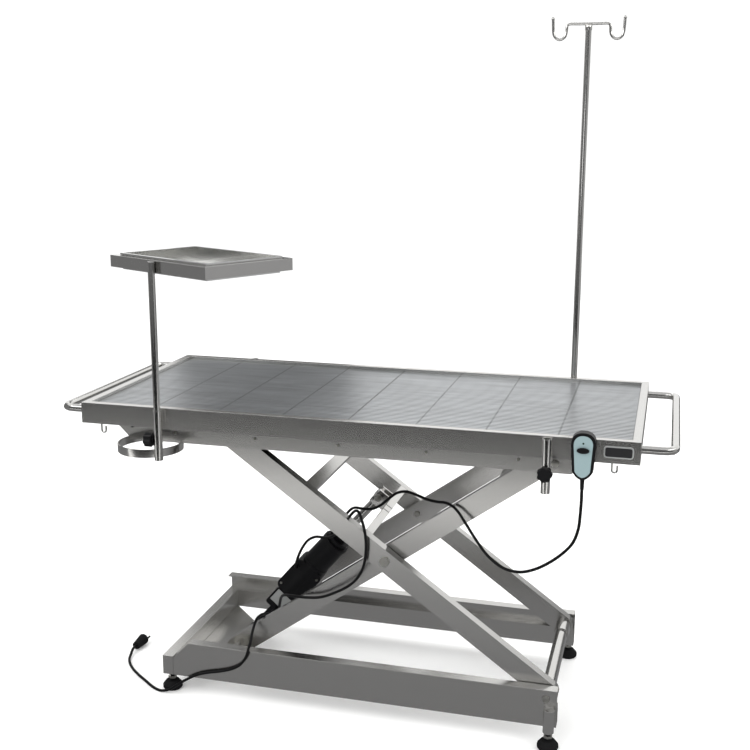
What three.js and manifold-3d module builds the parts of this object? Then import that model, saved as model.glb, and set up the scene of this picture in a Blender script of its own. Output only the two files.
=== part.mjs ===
// Veterinary exam table: a stainless top on a scissor lift, raised by a linear actuator.
// Millimetres, +Z up, +X along the table, -Y towards the front. The table stands on z = 0.
import * as THREE from "three";
import { mergeVertices } from "three/addons/utils/BufferGeometryUtils.js";
import Module from "manifold-3d";

const wasm = await Module();
wasm.setup();

// Clearances
const GAP = 0.3;
const RUNNING_GAP = 0.4;

// Table top
const TOP_LENGTH = 1300;
const TOP_WIDTH = 600;
const TOP_HEIGHT = 765;
const APRON_HEIGHT = 50;
const SHEET = 2;
const RIM_WIDTH = 18;
const PANEL_RECESS = 8;
const PANEL_THICKNESS = 14.7;
const LEDGE_WIDTH = 20;
const GROOVE_PITCH = 12;
const GROOVE_WIDTH = 4;
const GROOVE_DEPTH = 6;
const BEARER_HEIGHT = 12.4;
const BEARER_WIDTH = 20;
const BEARER_X = [-510, -350, -190, 0, 190, 350, 510];

// Base rails: a box section with a roller track on top, facing inwards
const RAIL_HALF_WIDTH = 230;
const RAIL_BOTTOM = 48;
const RAIL_DEPTH = 27;
const RAIL_WALL = 3;
const BASE_LEFT = -500;
const BASE_RIGHT = 493;
const END_RAIL_WIDTH = 28;
const PAN_REACH = 142;
const PAN_CORNER = 72;

// Scissor lift
const PIVOT_X = 467;
const PIVOT_LOW = 117;
const PIVOT_DROP = 81;
const ARM_SPAN = 972;
const ARM_DEPTH = 50;
const ARM_THICKNESS = 25;
const ARM_WALL = 2.5;
const ARM_SPACING = 3;
const JOURNAL_RADIUS = 8;
const PIVOT_TUBE_RADIUS = 16;
const PIVOT_SLEEVE_RADIUS = 20;
const PIVOT_SLEEVE_LENGTH = 60;
const ROLLER_RADIUS = 18.7;
const ROLLER_WIDTH = 18;
const AXLE_RADIUS = 7;
const PIN_HEAD_RADIUS = 13;
const PIN_HEAD_HEIGHT = 4;
const PUSH_TUBE_OFFSET = 71;
const PUSH_TUBE_WIDTH = 20;
const PUSH_TUBE_DEPTH = 40;
const UPPER_TIE_OFFSET = 251;
const UPPER_TUBE_SIZE = 30;
const INNER_TIE_DISTANCE = 180;
const INNER_TIE_WIDTH = 40;
const INNER_TIE_DEPTH = 20;

// Sub-frame under the top
const SUB_LEFT = -600;
const SUB_RIGHT = 545;
const SUB_CHAMFER = 42;
const SUB_CROSS_WIDTH = 25;
const SUB_CROSS_HEIGHT = 22;

// Actuator: its foot pin, its push pin on the outer arms, and its pieces along the line between
const FOOT_PIN_X = -345;
const FOOT_PIN_Z = 85;
const FOOT_PIN_RADIUS = 5;
const PIN_PROUD = 2;
const PUSH_PIN_OFFSET = 106;
const PUSH_PIN_ABOVE = 38;
const EYE_THICKNESS = 24;
const EYE_RADIUS = 15;
const EYE_FLAT = 2;
const EYE_NECK = 8;
const LUG_THICKNESS = 5;
const LUG_LENGTH = 34;
const LUG_HEIGHT = 40;
const TAIL_HALF_HEIGHT = 9;
const GEARBOX_START = 108;
const GEARBOX_LENGTH = 58;
const GEARBOX_WIDTH = 60;
const GEARBOX_BELOW = 31;
const GEARBOX_THICKNESS = 64;
const GEARBOX_CORNER = 8;
const MOTOR_BLOCK_LENGTH = 105;
const MOTOR_BLOCK_WIDTH = 80;
const MOTOR_BLOCK_THICKNESS = 62;
const MOTOR_BLOCK_CORNER = 16;
const MOTOR_RADIUS = 35;
const MOTOR_LENGTH = 210;
const MOTOR_CAP_LENGTH = 12;
const MOTOR_CAP_STEP = 5;
const OUTER_TUBE_RADIUS = 18;
const OUTER_TUBE_BORE = 12;
const OUTER_TUBE_LENGTH = 245;
const ROD_RADIUS = 11;
const ROD_TAIL_DISTANCE = 270;

// Levelling feet
const FOOT_RADIUS = 25;
const FOOT_PAD_HEIGHT = 22;
const STUD_RADIUS = 6;
const STUD_LENGTH = 70;
const FOOT_SLEEVE_RADIUS = 13;
const FOOT_SLEEVE_HEIGHT = 58;
const FOOT_SLEEVE_DROP = 8;
const FOOT_CHAMFER = 3;
const FOOT_EDGE_LOW = 4;
const FOOT_EDGE_HIGH = 11;
const FOOT_SHOULDER = 9;
const FOOT_LEFT_INSET = 14;
const FOOT_LEFT_SIDE_INSET = 24;
const FOOT_RIGHT_INSET = 17;

// Handles
const HANDLE_RADIUS = 9.5;
const HANDLE_REACH = 70;
const HANDLE_HALF_SPAN = 262;
const HANDLE_CORNER = 28;
const HANDLE_DROP = 25;

// Accessory sockets and their star knobs
const SOCKET_X_LEFT = -446;
const SOCKET_X_RIGHT = 456;
const SOCKET_RADIUS = 10;
const SOCKET_BORE = 8.6;
const SOCKET_TOP_DROP = 3;
const SOCKET_LENGTH = 120;
const SOCKET_PLATE = 2;
const SOCKET_PLATE_WIDTH = 21;
const KNOB_DROP = 75;
const KNOB_RADIUS = 17;
const KNOB_THICKNESS = 18;
const KNOB_SCREW_RADIUS = 4;
const KNOB_STANDOFF = 4;
const KNOB_LOBES = 7;
const KNOB_LOBE_DEPTH = 1.6;
const KNOB_POINTS_PER_LOBE = 4;

// Drip pole, tray and ring holder
const POST_RADIUS = 8;
const IV_RISE = 890;
const IV_ROD_RADIUS = 4;
const IV_ARM = 48;
const IV_BEND = 7;
const IV_HOOK_RADIUS = 15;
const IV_HOOK_DROP = 24;
const IV_HOOK_DEPTH = 13;
const IV_TIP_RISE = 38;
const IV_TIP_LEAN = 3;
const TRAY_RISE = 345;
const TRAY_LENGTH = 360;
const TRAY_WIDTH = 255;
const TRAY_TURN = -28.2;
const TRAY_POST_OFFSET = 5;
const TRAY_POST_DROP = 2;
const TRAY_RIM_HEIGHT = 28;
const TRAY_RIM_WIDTH = 20;
const TRAY_PAN_DEPTH = 34;
const TRAY_WALL = 1.5;
const TRAY_LIP = 4;
const TRAY_LIP_HEIGHT = 4.5;
const RING_RADIUS = 79;
const RING_WALL = 3;
const RING_HEIGHT = 20;
const RING_X = -508;
const RING_FROM_APRON = 71;
const RING_DROP = 1;
const RING_BRACKET_WIDTH = 10;
const RING_BRACKET_INSET = 2;

// Handset on the front apron
const HANDSET_X = 533;
const HANDSET_RISE = 18;
const HANDSET_HEIGHT = 103;
const HANDSET_WIDTH = 52;
const HANDSET_TAIL_WIDTH = 26;
const HANDSET_THICKNESS = 24;
const HANDSET_CROWN = 8;
const HANDSET_CROWN_SPREAD = 0.6;
const HANDSET_WAIST = 84;
const HANDSET_TAPER = 4;
const HANDSET_CHIN = 2;
const HANDSET_FACE_INSET = 6;
const HANDSET_FACE_THICKNESS = 1.5;
const ROCKER_WIDTH = 27;
const ROCKER_HEIGHT = 13;
const ROCKER_THICKNESS = 4;
const ROCKER_DROP = 37;
const ROCKER_GAP = 0.9;
const RELIEF_RADIUS = 5;
const RELIEF_LENGTH = 28;
const RELIEF_INSET = 4;
const RELIEF_WALL = 0.5;

// Nameplate
const PLATE_X = 605;
const PLATE_WIDTH = 62;
const PLATE_HEIGHT = 26;
const PLATE_THICKNESS = 1.5;
const PLATE_CORNER = 8;

// Cords
const CORD_RADIUS = 3.5;
const CORD_SIDES = 8;
const PLUG_X = -671;
const PLUG_Y = -48;
const PLUG_LENGTH = 44;
const PLUG_RADIUS = 15;
const PLUG_TAPER = 0.72;
const PLUG_PIN_ROOT = 2;
const PLUG_PIN_RADIUS = 2.4;
const PLUG_PIN_LENGTH = 19;
const PLUG_PIN_SPACING = 19;

// Places that follow from the sizes above
const RAIL_LIP = RAIL_HALF_WIDTH - RAIL_DEPTH;
const TRACK_FLOOR = PIVOT_LOW - ROLLER_RADIUS - GAP;
const RAIL_TOP = PIVOT_LOW + ROLLER_RADIUS + GAP + RAIL_WALL;
const BOX_TOP = TRACK_FLOOR - RAIL_WALL;
const PIVOT_TOP = TOP_HEIGHT - PIVOT_DROP;
const LIFT_RISE = PIVOT_TOP - PIVOT_LOW;
const SUB_BOTTOM = PIVOT_TOP - ROLLER_RADIUS - GAP - RAIL_WALL;
const SUB_TRACK_TOP = PIVOT_TOP + ROLLER_RADIUS + GAP;
const LIFT_ANGLE = Math.asin(LIFT_RISE / ARM_SPAN);
const OUTER_ARM_FACE = RAIL_LIP - ARM_SPACING;
const INNER_ARM_FACE = OUTER_ARM_FACE - ARM_THICKNESS - ARM_SPACING;
const PUSH_TUBE_AT = ARM_SPAN / 2 + PUSH_TUBE_OFFSET;
const PUSH_PIN_AT = ARM_SPAN / 2 + PUSH_PIN_OFFSET;
const UPPER_TIE_AT = ARM_SPAN / 2 + UPPER_TIE_OFFSET;
const FOOT_LEFT_HALF_WIDTH = RAIL_HALF_WIDTH - FOOT_LEFT_SIDE_INSET;
const APRON_BOTTOM = TOP_HEIGHT - APRON_HEIGHT;
const PANEL_TOP = TOP_HEIGHT - PANEL_RECESS;
const LEDGE_TOP = PANEL_TOP - PANEL_THICKNESS;
const LEDGE_BOTTOM = LEDGE_TOP - SHEET;
const BEARER_TOP = LEDGE_BOTTOM - GAP;
const BEARER_BOTTOM = BEARER_TOP - BEARER_HEIGHT;
const SUB_TOP = BEARER_BOTTOM - GAP;
const HALF_LENGTH = TOP_LENGTH / 2;
const HALF_WIDTH = TOP_WIDTH / 2;
const SOCKET_Y = HALF_WIDTH + GAP + SOCKET_PLATE + SOCKET_RADIUS;
const SOCKET_TOP = TOP_HEIGHT - SOCKET_TOP_DROP;
const SOCKET_BOTTOM = SOCKET_TOP - SOCKET_LENGTH;
const KNOB_HEIGHT = TOP_HEIGHT - KNOB_DROP;
const IV_TOP = TOP_HEIGHT + IV_RISE;
const TRAY_TOP = TOP_HEIGHT + TRAY_RISE;
const HANDSET_TOP = TOP_HEIGHT + HANDSET_RISE;

// Finishes
function finish(color, roughness, metalness) {
  return () => new THREE.MeshStandardMaterial({ color, roughness, metalness });
}
const brushedSteel = finish(0x8c8a86, 0.35, 1);
const polishedSteel = finish(0xc9cbcc, 0.2, 1);
const grooveSteel = finish(0x9aa3aa, 0.45, 1);
const blackPlastic = finish(0x141416, 0.5, 0);
const blackRubber = finish(0x1b1b1d, 0.8, 0);
const paleFace = finish(0x9fb1b5, 0.5, 0);
const darkPlate = finish(0x3a3a3c, 0.4, 0.6);
const nylon = finish(0xd8d6cf, 0.6, 0);

const table = new THREE.Group();
const cordMeshes = [];

// Adds a named piece to the table or to one of its turned groups.
function addPiece(name, shape, material, parent = table) {
  const geometry = shape.isBufferGeometry ? shape : geometryOf(shape);
  const mesh = new THREE.Mesh(geometry, material());
  mesh.name = name;
  parent.add(mesh);
  return mesh;
}

// A closed three.js geometry as a solid that can be joined and cut.
function solid(geometry) {
  const bare = geometry.index ? geometry.toNonIndexed() : geometry.clone();
  bare.deleteAttribute("normal");
  bare.deleteAttribute("uv");
  const merged = mergeVertices(bare, 1e-4);
  return new wasm.Manifold(
    new wasm.Mesh({
      numProp: 3,
      vertProperties: new Float32Array(merged.attributes.position.array),
      triVerts: new Uint32Array(merged.index.array),
    }),
  );
}

// A joined or cut solid as a three.js geometry.
function geometryOf(body) {
  const mesh = body.getMesh();
  const geometry = new THREE.BufferGeometry();
  geometry.setAttribute("position", new THREE.BufferAttribute(mesh.vertProperties, 3));
  geometry.setIndex(new THREE.BufferAttribute(mesh.triVerts, 1));
  geometry.computeVertexNormals();
  return geometry;
}

// A box between two corners.
function box(x0, x1, y0, y1, z0, z1) {
  const geometry = new THREE.BoxGeometry(x1 - x0, y1 - y0, z1 - z0);
  return solid(geometry.translate((x0 + x1) / 2, (y0 + y1) / 2, (z0 + z1) / 2));
}

// A round bar along Y between y0 and y1.
function barY(radius, y0, y1, x, z, sides = 24) {
  const geometry = new THREE.CylinderGeometry(radius, radius, y1 - y0, sides);
  return solid(geometry.translate(x, (y0 + y1) / 2, z));
}

// A round bar along Z between z0 and z1.
function barZ(radius, z0, z1, x, y, sides = 24) {
  const geometry = new THREE.CylinderGeometry(radius, radius, z1 - z0, sides);
  return solid(geometry.rotateX(Math.PI / 2).translate(x, y, (z0 + z1) / 2));
}

// A round bar along X between x0 and x1.
function barX(radius, x0, x1, y, z, sides = 24) {
  const geometry = new THREE.CylinderGeometry(radius, radius, x1 - x0, sides);
  return solid(geometry.rotateZ(-Math.PI / 2).translate((x0 + x1) / 2, y, z));
}

// A flat outline in the XZ plane, given its thickness along Y.
function plateXZ(outline, y0, y1) {
  const options = { depth: y1 - y0, bevelEnabled: false, curveSegments: 8 };
  const geometry = new THREE.ExtrudeGeometry(outline, options);
  return solid(geometry.rotateX(Math.PI / 2).translate(0, y1, 0));
}

// A profile in the YZ plane, run along X from x0 to x1.
function sectionX(points, x0, x1, holes = []) {
  const outline = new THREE.Shape(points.map(([y, z]) => new THREE.Vector2(y, z)));
  for (const hole of holes) {
    outline.holes.push(new THREE.Path(hole.map(([y, z]) => new THREE.Vector2(y, z))));
  }
  const geometry = new THREE.ExtrudeGeometry(outline, { depth: x1 - x0, bevelEnabled: false });
  const turn = new THREE.Matrix4().set(0, 0, 1, x0, 1, 0, 0, 0, 0, 1, 0, 0, 0, 0, 0, 1);
  return solid(geometry.applyMatrix4(turn));
}

// A round tube or rod along a path.
function rodAlong(path, radius, steps, sides) {
  const section = new THREE.Shape();
  for (let i = 0; i < sides; i += 1) {
    const angle = (2 * Math.PI * i) / sides;
    const x = radius * Math.cos(angle);
    const y = radius * Math.sin(angle);
    if (i === 0) section.moveTo(x, y);
    else section.lineTo(x, y);
  }
  section.closePath();
  return new THREE.ExtrudeGeometry(section, { steps, extrudePath: path, bevelEnabled: false });
}

// An outline through corners, each rounded to the given radius.
function roundedOutline(corners, radius) {
  const outline = new THREE.Shape();
  corners.forEach((corner, i) => {
    const before = corners[(i + corners.length - 1) % corners.length];
    const after = corners[(i + 1) % corners.length];
    const enter = corner.clone().add(before.clone().sub(corner).setLength(radius));
    const leave = corner.clone().add(after.clone().sub(corner).setLength(radius));
    if (i === 0) outline.moveTo(enter.x, enter.y);
    else outline.lineTo(enter.x, enter.y);
    outline.quadraticCurveTo(corner.x, corner.y, leave.x, leave.y);
  });
  outline.closePath();
  return outline;
}

// Mirrors a list of [y, z] points for the rear side, keeping their order closed the right way.
function forSide(points, side) {
  return side < 0 ? points : points.map(([y, z]) => [-y, z]).reverse();
}

// Base rails
function baseRail(side) {
  const outer = -RAIL_HALF_WIDTH;
  const lip = -RAIL_LIP;
  const section = [
    [outer, RAIL_BOTTOM],
    [lip, RAIL_BOTTOM],
    [lip, TRACK_FLOOR],
    [outer + RAIL_WALL, TRACK_FLOOR],
    [outer + RAIL_WALL, RAIL_TOP - RAIL_WALL],
    [lip, RAIL_TOP - RAIL_WALL],
    [lip, RAIL_TOP],
    [outer, RAIL_TOP],
  ];
  const hollow = [
    [outer + RAIL_WALL, RAIL_BOTTOM + RAIL_WALL],
    [lip - RAIL_WALL, RAIL_BOTTOM + RAIL_WALL],
    [lip - RAIL_WALL, BOX_TOP],
    [outer + RAIL_WALL, BOX_TOP],
  ];
  const left = side < 0 ? BASE_LEFT + END_RAIL_WIDTH + GAP : BASE_LEFT;
  let rail = sectionX(forSide(section, side), left, BASE_RIGHT, [forSide(hollow, side)]);
  const journalHole = JOURNAL_RADIUS + RUNNING_GAP;
  const [near, far] = side < 0 ? [outer - 1, lip - RAIL_WALL] : [-lip + RAIL_WALL, -outer + 1];
  rail = rail.subtract(barY(journalHole, near, far, PIVOT_X, PIVOT_LOW));
  if (side < 0) {
    const drop = RAIL_TOP - BOX_TOP;
    const corner = new THREE.Shape([
      new THREE.Vector2(left - 1, BOX_TOP - 1),
      new THREE.Vector2(left - 1, RAIL_TOP + 1),
      new THREE.Vector2(left + drop + 1, RAIL_TOP + 1),
    ]);
    rail = rail.subtract(plateXZ(corner, outer - 1, lip + 1));
  }
  const footX = BASE_RIGHT - FOOT_RIGHT_INSET;
  const footY = side * (RAIL_HALF_WIDTH + FOOT_SLEEVE_RADIUS - RAIL_WALL);
  const sleeveBottom = RAIL_BOTTOM - FOOT_SLEEVE_DROP;
  const sleeve = barZ(FOOT_SLEEVE_RADIUS, sleeveBottom, sleeveBottom + FOOT_SLEEVE_HEIGHT, footX, footY);
  rail = rail.add(sleeve);
  const studTop = FOOT_PAD_HEIGHT + STUD_LENGTH;
  return rail.subtract(barZ(STUD_RADIUS + RUNNING_GAP, 0, studTop, footX, footY));
}
addPiece("base_rail_front", baseRail(-1), brushedSteel);
addPiece("base_rail_rear", baseRail(1), brushedSteel);

// Left end rail, a box between the front face and the rear rail
function endRail() {
  const x1 = BASE_LEFT + END_RAIL_WIDTH;
  const rail = box(BASE_LEFT, x1, -RAIL_HALF_WIDTH, RAIL_LIP - GAP, RAIL_BOTTOM, BOX_TOP + RAIL_WALL);
  const inside = box(
    BASE_LEFT + RAIL_WALL,
    x1 - RAIL_WALL,
    -RAIL_HALF_WIDTH + RAIL_WALL,
    RAIL_HALF_WIDTH,
    RAIL_BOTTOM + RAIL_WALL,
    BOX_TOP,
  );
  const studHole = barZ(
    STUD_RADIUS + RUNNING_GAP,
    0,
    BOX_TOP + 1,
    BASE_LEFT + FOOT_LEFT_INSET,
    -FOOT_LEFT_HALF_WIDTH,
  );
  return rail.subtract(inside).subtract(studHole);
}
addPiece("base_end_rail", endRail(), brushedSteel);

// Pan plate across the left end, with its corners cut, carrying the actuator's foot
const panLeft = BASE_LEFT + END_RAIL_WIDTH + GAP;
const panHalf = RAIL_LIP - GAP;
function panPlate() {
  const right = panLeft + PAN_REACH;
  const outline = new THREE.Shape([
    new THREE.Vector2(panLeft, -panHalf),
    new THREE.Vector2(right - PAN_CORNER, -panHalf + PAN_CORNER),
    new THREE.Vector2(right, -panHalf + 2 * PAN_CORNER),
    new THREE.Vector2(right, panHalf - 2 * PAN_CORNER),
    new THREE.Vector2(right - PAN_CORNER, panHalf - PAN_CORNER),
    new THREE.Vector2(panLeft, panHalf),
  ]);
  const sheet = new THREE.ExtrudeGeometry(outline, { depth: RAIL_WALL, bevelEnabled: false });
  return solid(sheet.translate(0, 0, RAIL_BOTTOM));
}
addPiece("base_pan_plate", panPlate(), brushedSteel);

// Foot bracket of the actuator: two lugs on a sole, with the foot pin through them
function footBracket() {
  const floor = RAIL_BOTTOM + RAIL_WALL + GAP;
  const inner = EYE_THICKNESS / 2 + RUNNING_GAP;
  const outer = inner + LUG_THICKNESS;
  const half = EYE_RADIUS;
  let bracket = box(FOOT_PIN_X - half, FOOT_PIN_X + half, -outer, outer, floor, floor + LUG_THICKNESS);
  for (const side of [-1, 1]) {
    const [y0, y1] = side < 0 ? [-outer, -inner] : [inner, outer];
    bracket = bracket.add(box(FOOT_PIN_X - half, FOOT_PIN_X + half, y0, y1, floor, FOOT_PIN_Z));
    bracket = bracket.add(barY(half, y0, y1, FOOT_PIN_X, FOOT_PIN_Z));
  }
  const pinEnd = outer + PIN_PROUD;
  return bracket.add(barY(FOOT_PIN_RADIUS, -pinEnd, pinEnd, FOOT_PIN_X, FOOT_PIN_Z, 16));
}
addPiece("actuator_foot_bracket", footBracket(), brushedSteel);

// Levelling feet: a rubber pad with a threaded stud
function levellingFoot(x, y, studLength) {
  const profile = [
    [0, 0],
    [FOOT_RADIUS - FOOT_CHAMFER, 0],
    [FOOT_RADIUS, FOOT_EDGE_LOW],
    [FOOT_RADIUS, FOOT_EDGE_HIGH],
    [FOOT_RADIUS - FOOT_SHOULDER, FOOT_PAD_HEIGHT],
    [STUD_RADIUS, FOOT_PAD_HEIGHT],
    [STUD_RADIUS, FOOT_PAD_HEIGHT + studLength],
    [0, FOOT_PAD_HEIGHT + studLength],
  ];
  const geometry = new THREE.LatheGeometry(
    profile.map(([r, z]) => new THREE.Vector2(r, z)),
    20,
  );
  return solid(geometry.rotateX(Math.PI / 2).translate(x, y, 0));
}
const footLeftX = BASE_LEFT + FOOT_LEFT_INSET;
const footRightX = BASE_RIGHT - FOOT_RIGHT_INSET;
const footRightY = RAIL_HALF_WIDTH + FOOT_SLEEVE_RADIUS - RAIL_WALL;
const boxRoom = BOX_TOP - GAP - FOOT_PAD_HEIGHT;
const rearLeftFootY = RAIL_LIP + RAIL_DEPTH / 2;
addPiece("foot_front_left", levellingFoot(footLeftX, -FOOT_LEFT_HALF_WIDTH, boxRoom), blackRubber);
addPiece("foot_front_right", levellingFoot(footRightX, -footRightY, STUD_LENGTH), blackRubber);
addPiece("foot_rear_right", levellingFoot(footRightX, footRightY, STUD_LENGTH), blackRubber);

// The rear left foot screws into the rear rail's box
function drillRearRail() {
  const rail = table.getObjectByName("base_rail_rear");
  const hole = barZ(STUD_RADIUS + RUNNING_GAP, 0, BOX_TOP - 1, footLeftX, rearLeftFootY);
  rail.geometry = geometryOf(solid(rail.geometry).subtract(hole));
}
drillRearRail();
addPiece("foot_rear_left", levellingFoot(footLeftX, rearLeftFootY, boxRoom), blackRubber);

// Scissor arms, drawn along -X from a pivot at the origin of a turned group
const outerGroup = new THREE.Group();
outerGroup.position.set(PIVOT_X, 0, PIVOT_LOW);
outerGroup.rotation.y = LIFT_ANGLE;
table.add(outerGroup);
const innerGroup = new THREE.Group();
innerGroup.position.set(PIVOT_X, 0, PIVOT_TOP);
innerGroup.rotation.y = -LIFT_ANGLE;
table.add(innerGroup);

// One arm tube with its pivot holes and the stub axle for its roller
function armTube(face, side) {
  const half = ARM_DEPTH / 2;
  const outline = new THREE.Shape();
  outline.moveTo(0, -half);
  outline.absarc(0, 0, half, -Math.PI / 2, Math.PI / 2, false);
  outline.lineTo(-ARM_SPAN, half);
  outline.absarc(-ARM_SPAN, 0, half, Math.PI / 2, (3 * Math.PI) / 2, false);
  const [y0, y1] = side < 0 ? [-face, -face + ARM_THICKNESS] : [face - ARM_THICKNESS, face];
  let arm = plateXZ(outline, y0, y1);
  const inside = half - ARM_WALL;
  arm = arm.subtract(
    box(-ARM_SPAN - half - 1, half + 1, y0 + ARM_WALL, y1 - ARM_WALL, -inside, inside),
  );
  const hole = JOURNAL_RADIUS + RUNNING_GAP;
  for (const x of [0, -ARM_SPAN / 2]) {
    arm = arm.subtract(barY(hole, y0 - 1, y1 + 1, x, 0));
  }
  const axleEnd = RAIL_HALF_WIDTH - RAIL_WALL - RUNNING_GAP;
  const [a0, a1] = side < 0 ? [-axleEnd, y1] : [y0, axleEnd];
  return arm.add(barY(AXLE_RADIUS, a0, a1, -ARM_SPAN, 0));
}
addPiece("outer_arm_front", armTube(OUTER_ARM_FACE, -1), brushedSteel, outerGroup);
addPiece("outer_arm_rear", armTube(OUTER_ARM_FACE, 1), brushedSteel, outerGroup);
addPiece("inner_arm_front", armTube(INNER_ARM_FACE, -1), brushedSteel, innerGroup);
addPiece("inner_arm_rear", armTube(INNER_ARM_FACE, 1), brushedSteel, innerGroup);

// A pivot tube between two arms, with journals that reach through the arms and the frame's webs
function pivotTube(face, sleeve) {
  const inner = face - ARM_THICKNESS - GAP;
  let tube = barY(PIVOT_TUBE_RADIUS, -inner, inner, 0, 0);
  const reach = RAIL_HALF_WIDTH + PIN_PROUD;
  tube = tube.add(barY(JOURNAL_RADIUS, -reach, reach, 0, 0));
  if (sleeve) {
    tube = tube.add(barY(PIVOT_SLEEVE_RADIUS, inner - PIVOT_SLEEVE_LENGTH, inner, 0, 0));
  }
  return tube;
}
addPiece("lower_pivot_tube", pivotTube(OUTER_ARM_FACE, true), polishedSteel, outerGroup);
addPiece("upper_pivot_tube", pivotTube(INNER_ARM_FACE, false), brushedSteel, innerGroup);

// Push tube between the outer arms, with the two lugs that take the actuator's rod
function pushTube() {
  const end = OUTER_ARM_FACE - ARM_THICKNESS - GAP;
  const top = ARM_DEPTH / 2;
  const left = -PUSH_TUBE_AT - PUSH_TUBE_WIDTH / 2;
  let tube = box(left, left + PUSH_TUBE_WIDTH, -end, end, top - PUSH_TUBE_DEPTH, top);
  const inner = EYE_THICKNESS / 2 + RUNNING_GAP;
  const outer = inner + LUG_THICKNESS;
  const lugBottom = PUSH_PIN_ABOVE - LUG_HEIGHT / 2;
  for (const [y0, y1] of [[-outer, -inner], [inner, outer]]) {
    const lug = box(left - LUG_LENGTH, left + 1, y0, y1, lugBottom, lugBottom + LUG_HEIGHT);
    const neck = box(left - 1, left + PUSH_TUBE_WIDTH, y0, y1, lugBottom, top + 1);
    tube = tube.add(lug).add(neck);
  }
  return tube;
}
addPiece("push_tube", pushTube(), polishedSteel, outerGroup);

// Square tube that ties the outer arms near their upper ends
function upperTie() {
  const end = OUTER_ARM_FACE - ARM_THICKNESS - GAP;
  const half = UPPER_TUBE_SIZE / 2;
  return box(-UPPER_TIE_AT - half, -UPPER_TIE_AT + half, -end, end, -half, half);
}
addPiece("outer_arm_tie", upperTie(), brushedSteel, outerGroup);

// Flat tie between the inner arms near their upper ends
function innerTie() {
  const end = INNER_ARM_FACE - ARM_THICKNESS - GAP;
  const bottom = -ARM_DEPTH / 2;
  const left = -INNER_TIE_DISTANCE - INNER_TIE_WIDTH / 2;
  return box(left, left + INNER_TIE_WIDTH, -end, end, bottom, bottom + INNER_TIE_DEPTH);
}
addPiece("inner_arm_tie", innerTie(), brushedSteel, innerGroup);

// Centre pins, through an outer and an inner arm, with a head outside
function centrePin(side) {
  const head0 = OUTER_ARM_FACE + GAP;
  const head1 = head0 + PIN_HEAD_HEIGHT;
  const tail = INNER_ARM_FACE - ARM_THICKNESS - ARM_SPACING;
  const x = -ARM_SPAN / 2;
  const [h0, h1] = side < 0 ? [-head1, -head0] : [head0, head1];
  const [t0, t1] = side < 0 ? [-head1, -tail] : [tail, head1];
  return barY(JOURNAL_RADIUS, t0, t1, x, 0).add(barY(PIN_HEAD_RADIUS, h0, h1, x, 0, 6));
}
addPiece("centre_pin_front", centrePin(-1), polishedSteel, outerGroup);
addPiece("centre_pin_rear", centrePin(1), polishedSteel, outerGroup);

// Rollers that run in the tracks of the base and of the sub-frame
function roller(side) {
  const mid = (RAIL_LIP + RAIL_HALF_WIDTH - RAIL_WALL) / 2;
  const y0 = side * mid - ROLLER_WIDTH / 2;
  const y1 = side * mid + ROLLER_WIDTH / 2;
  const body = barY(ROLLER_RADIUS, y0, y1, -ARM_SPAN, 0, 28);
  return body.subtract(barY(AXLE_RADIUS + RUNNING_GAP, y0 - 1, y1 + 1, -ARM_SPAN, 0));
}
addPiece("upper_roller_front", roller(-1), nylon, outerGroup);
addPiece("upper_roller_rear", roller(1), nylon, outerGroup);
addPiece("lower_roller_front", roller(-1), nylon, innerGroup);
addPiece("lower_roller_rear", roller(1), nylon, innerGroup);

// Sub-frame rails: a roller track below, and a web up to the bearers
function subRail(side) {
  const outer = -RAIL_HALF_WIDTH;
  const lip = -RAIL_LIP;
  const web = outer + RAIL_WALL;
  const section = [
    [outer, SUB_BOTTOM],
    [lip, SUB_BOTTOM],
    [lip, SUB_BOTTOM + RAIL_WALL],
    [web, SUB_BOTTOM + RAIL_WALL],
    [web, SUB_TRACK_TOP],
    [lip, SUB_TRACK_TOP],
    [lip, SUB_TRACK_TOP + RAIL_WALL],
    [web, SUB_TRACK_TOP + RAIL_WALL],
    [web, SUB_TOP - RAIL_WALL],
    [lip, SUB_TOP - RAIL_WALL],
    [lip, SUB_TOP],
    [outer, SUB_TOP],
  ];
  let rail = sectionX(forSide(section, side), SUB_LEFT, SUB_RIGHT);
  const [y0, y1] = side < 0 ? [outer - 1, lip + 1] : [-lip - 1, -outer + 1];
  for (const [end, way] of [[SUB_LEFT, 1], [SUB_RIGHT, -1]]) {
    const cut = new THREE.Shape([
      new THREE.Vector2(end - way, SUB_BOTTOM - 1),
      new THREE.Vector2(end + way * (SUB_CHAMFER + 1), SUB_BOTTOM - 1),
      new THREE.Vector2(end - way, SUB_BOTTOM + SUB_CHAMFER + 1),
    ]);
    rail = rail.subtract(plateXZ(cut, y0, y1));
  }
  const [h0, h1] = side < 0 ? [outer - 1, web + 1] : [-web - 1, -outer + 1];
  return rail.subtract(barY(JOURNAL_RADIUS + RUNNING_GAP, h0, h1, PIVOT_X, PIVOT_TOP));
}
addPiece("subframe_rail_front", subRail(-1), brushedSteel);
addPiece("subframe_rail_rear", subRail(1), brushedSteel);

// Cross members that join the two sub-frame rails
function subCross(x) {
  const end = RAIL_LIP - GAP;
  return box(x, x + SUB_CROSS_WIDTH, -end, end, SUB_TOP - SUB_CROSS_HEIGHT, SUB_TOP);
}
addPiece("subframe_cross_left", subCross(SUB_LEFT + SUB_CHAMFER), brushedSteel);
addPiece("subframe_cross_right", subCross(SUB_RIGHT - SUB_CROSS_WIDTH), brushedSteel);

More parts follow.
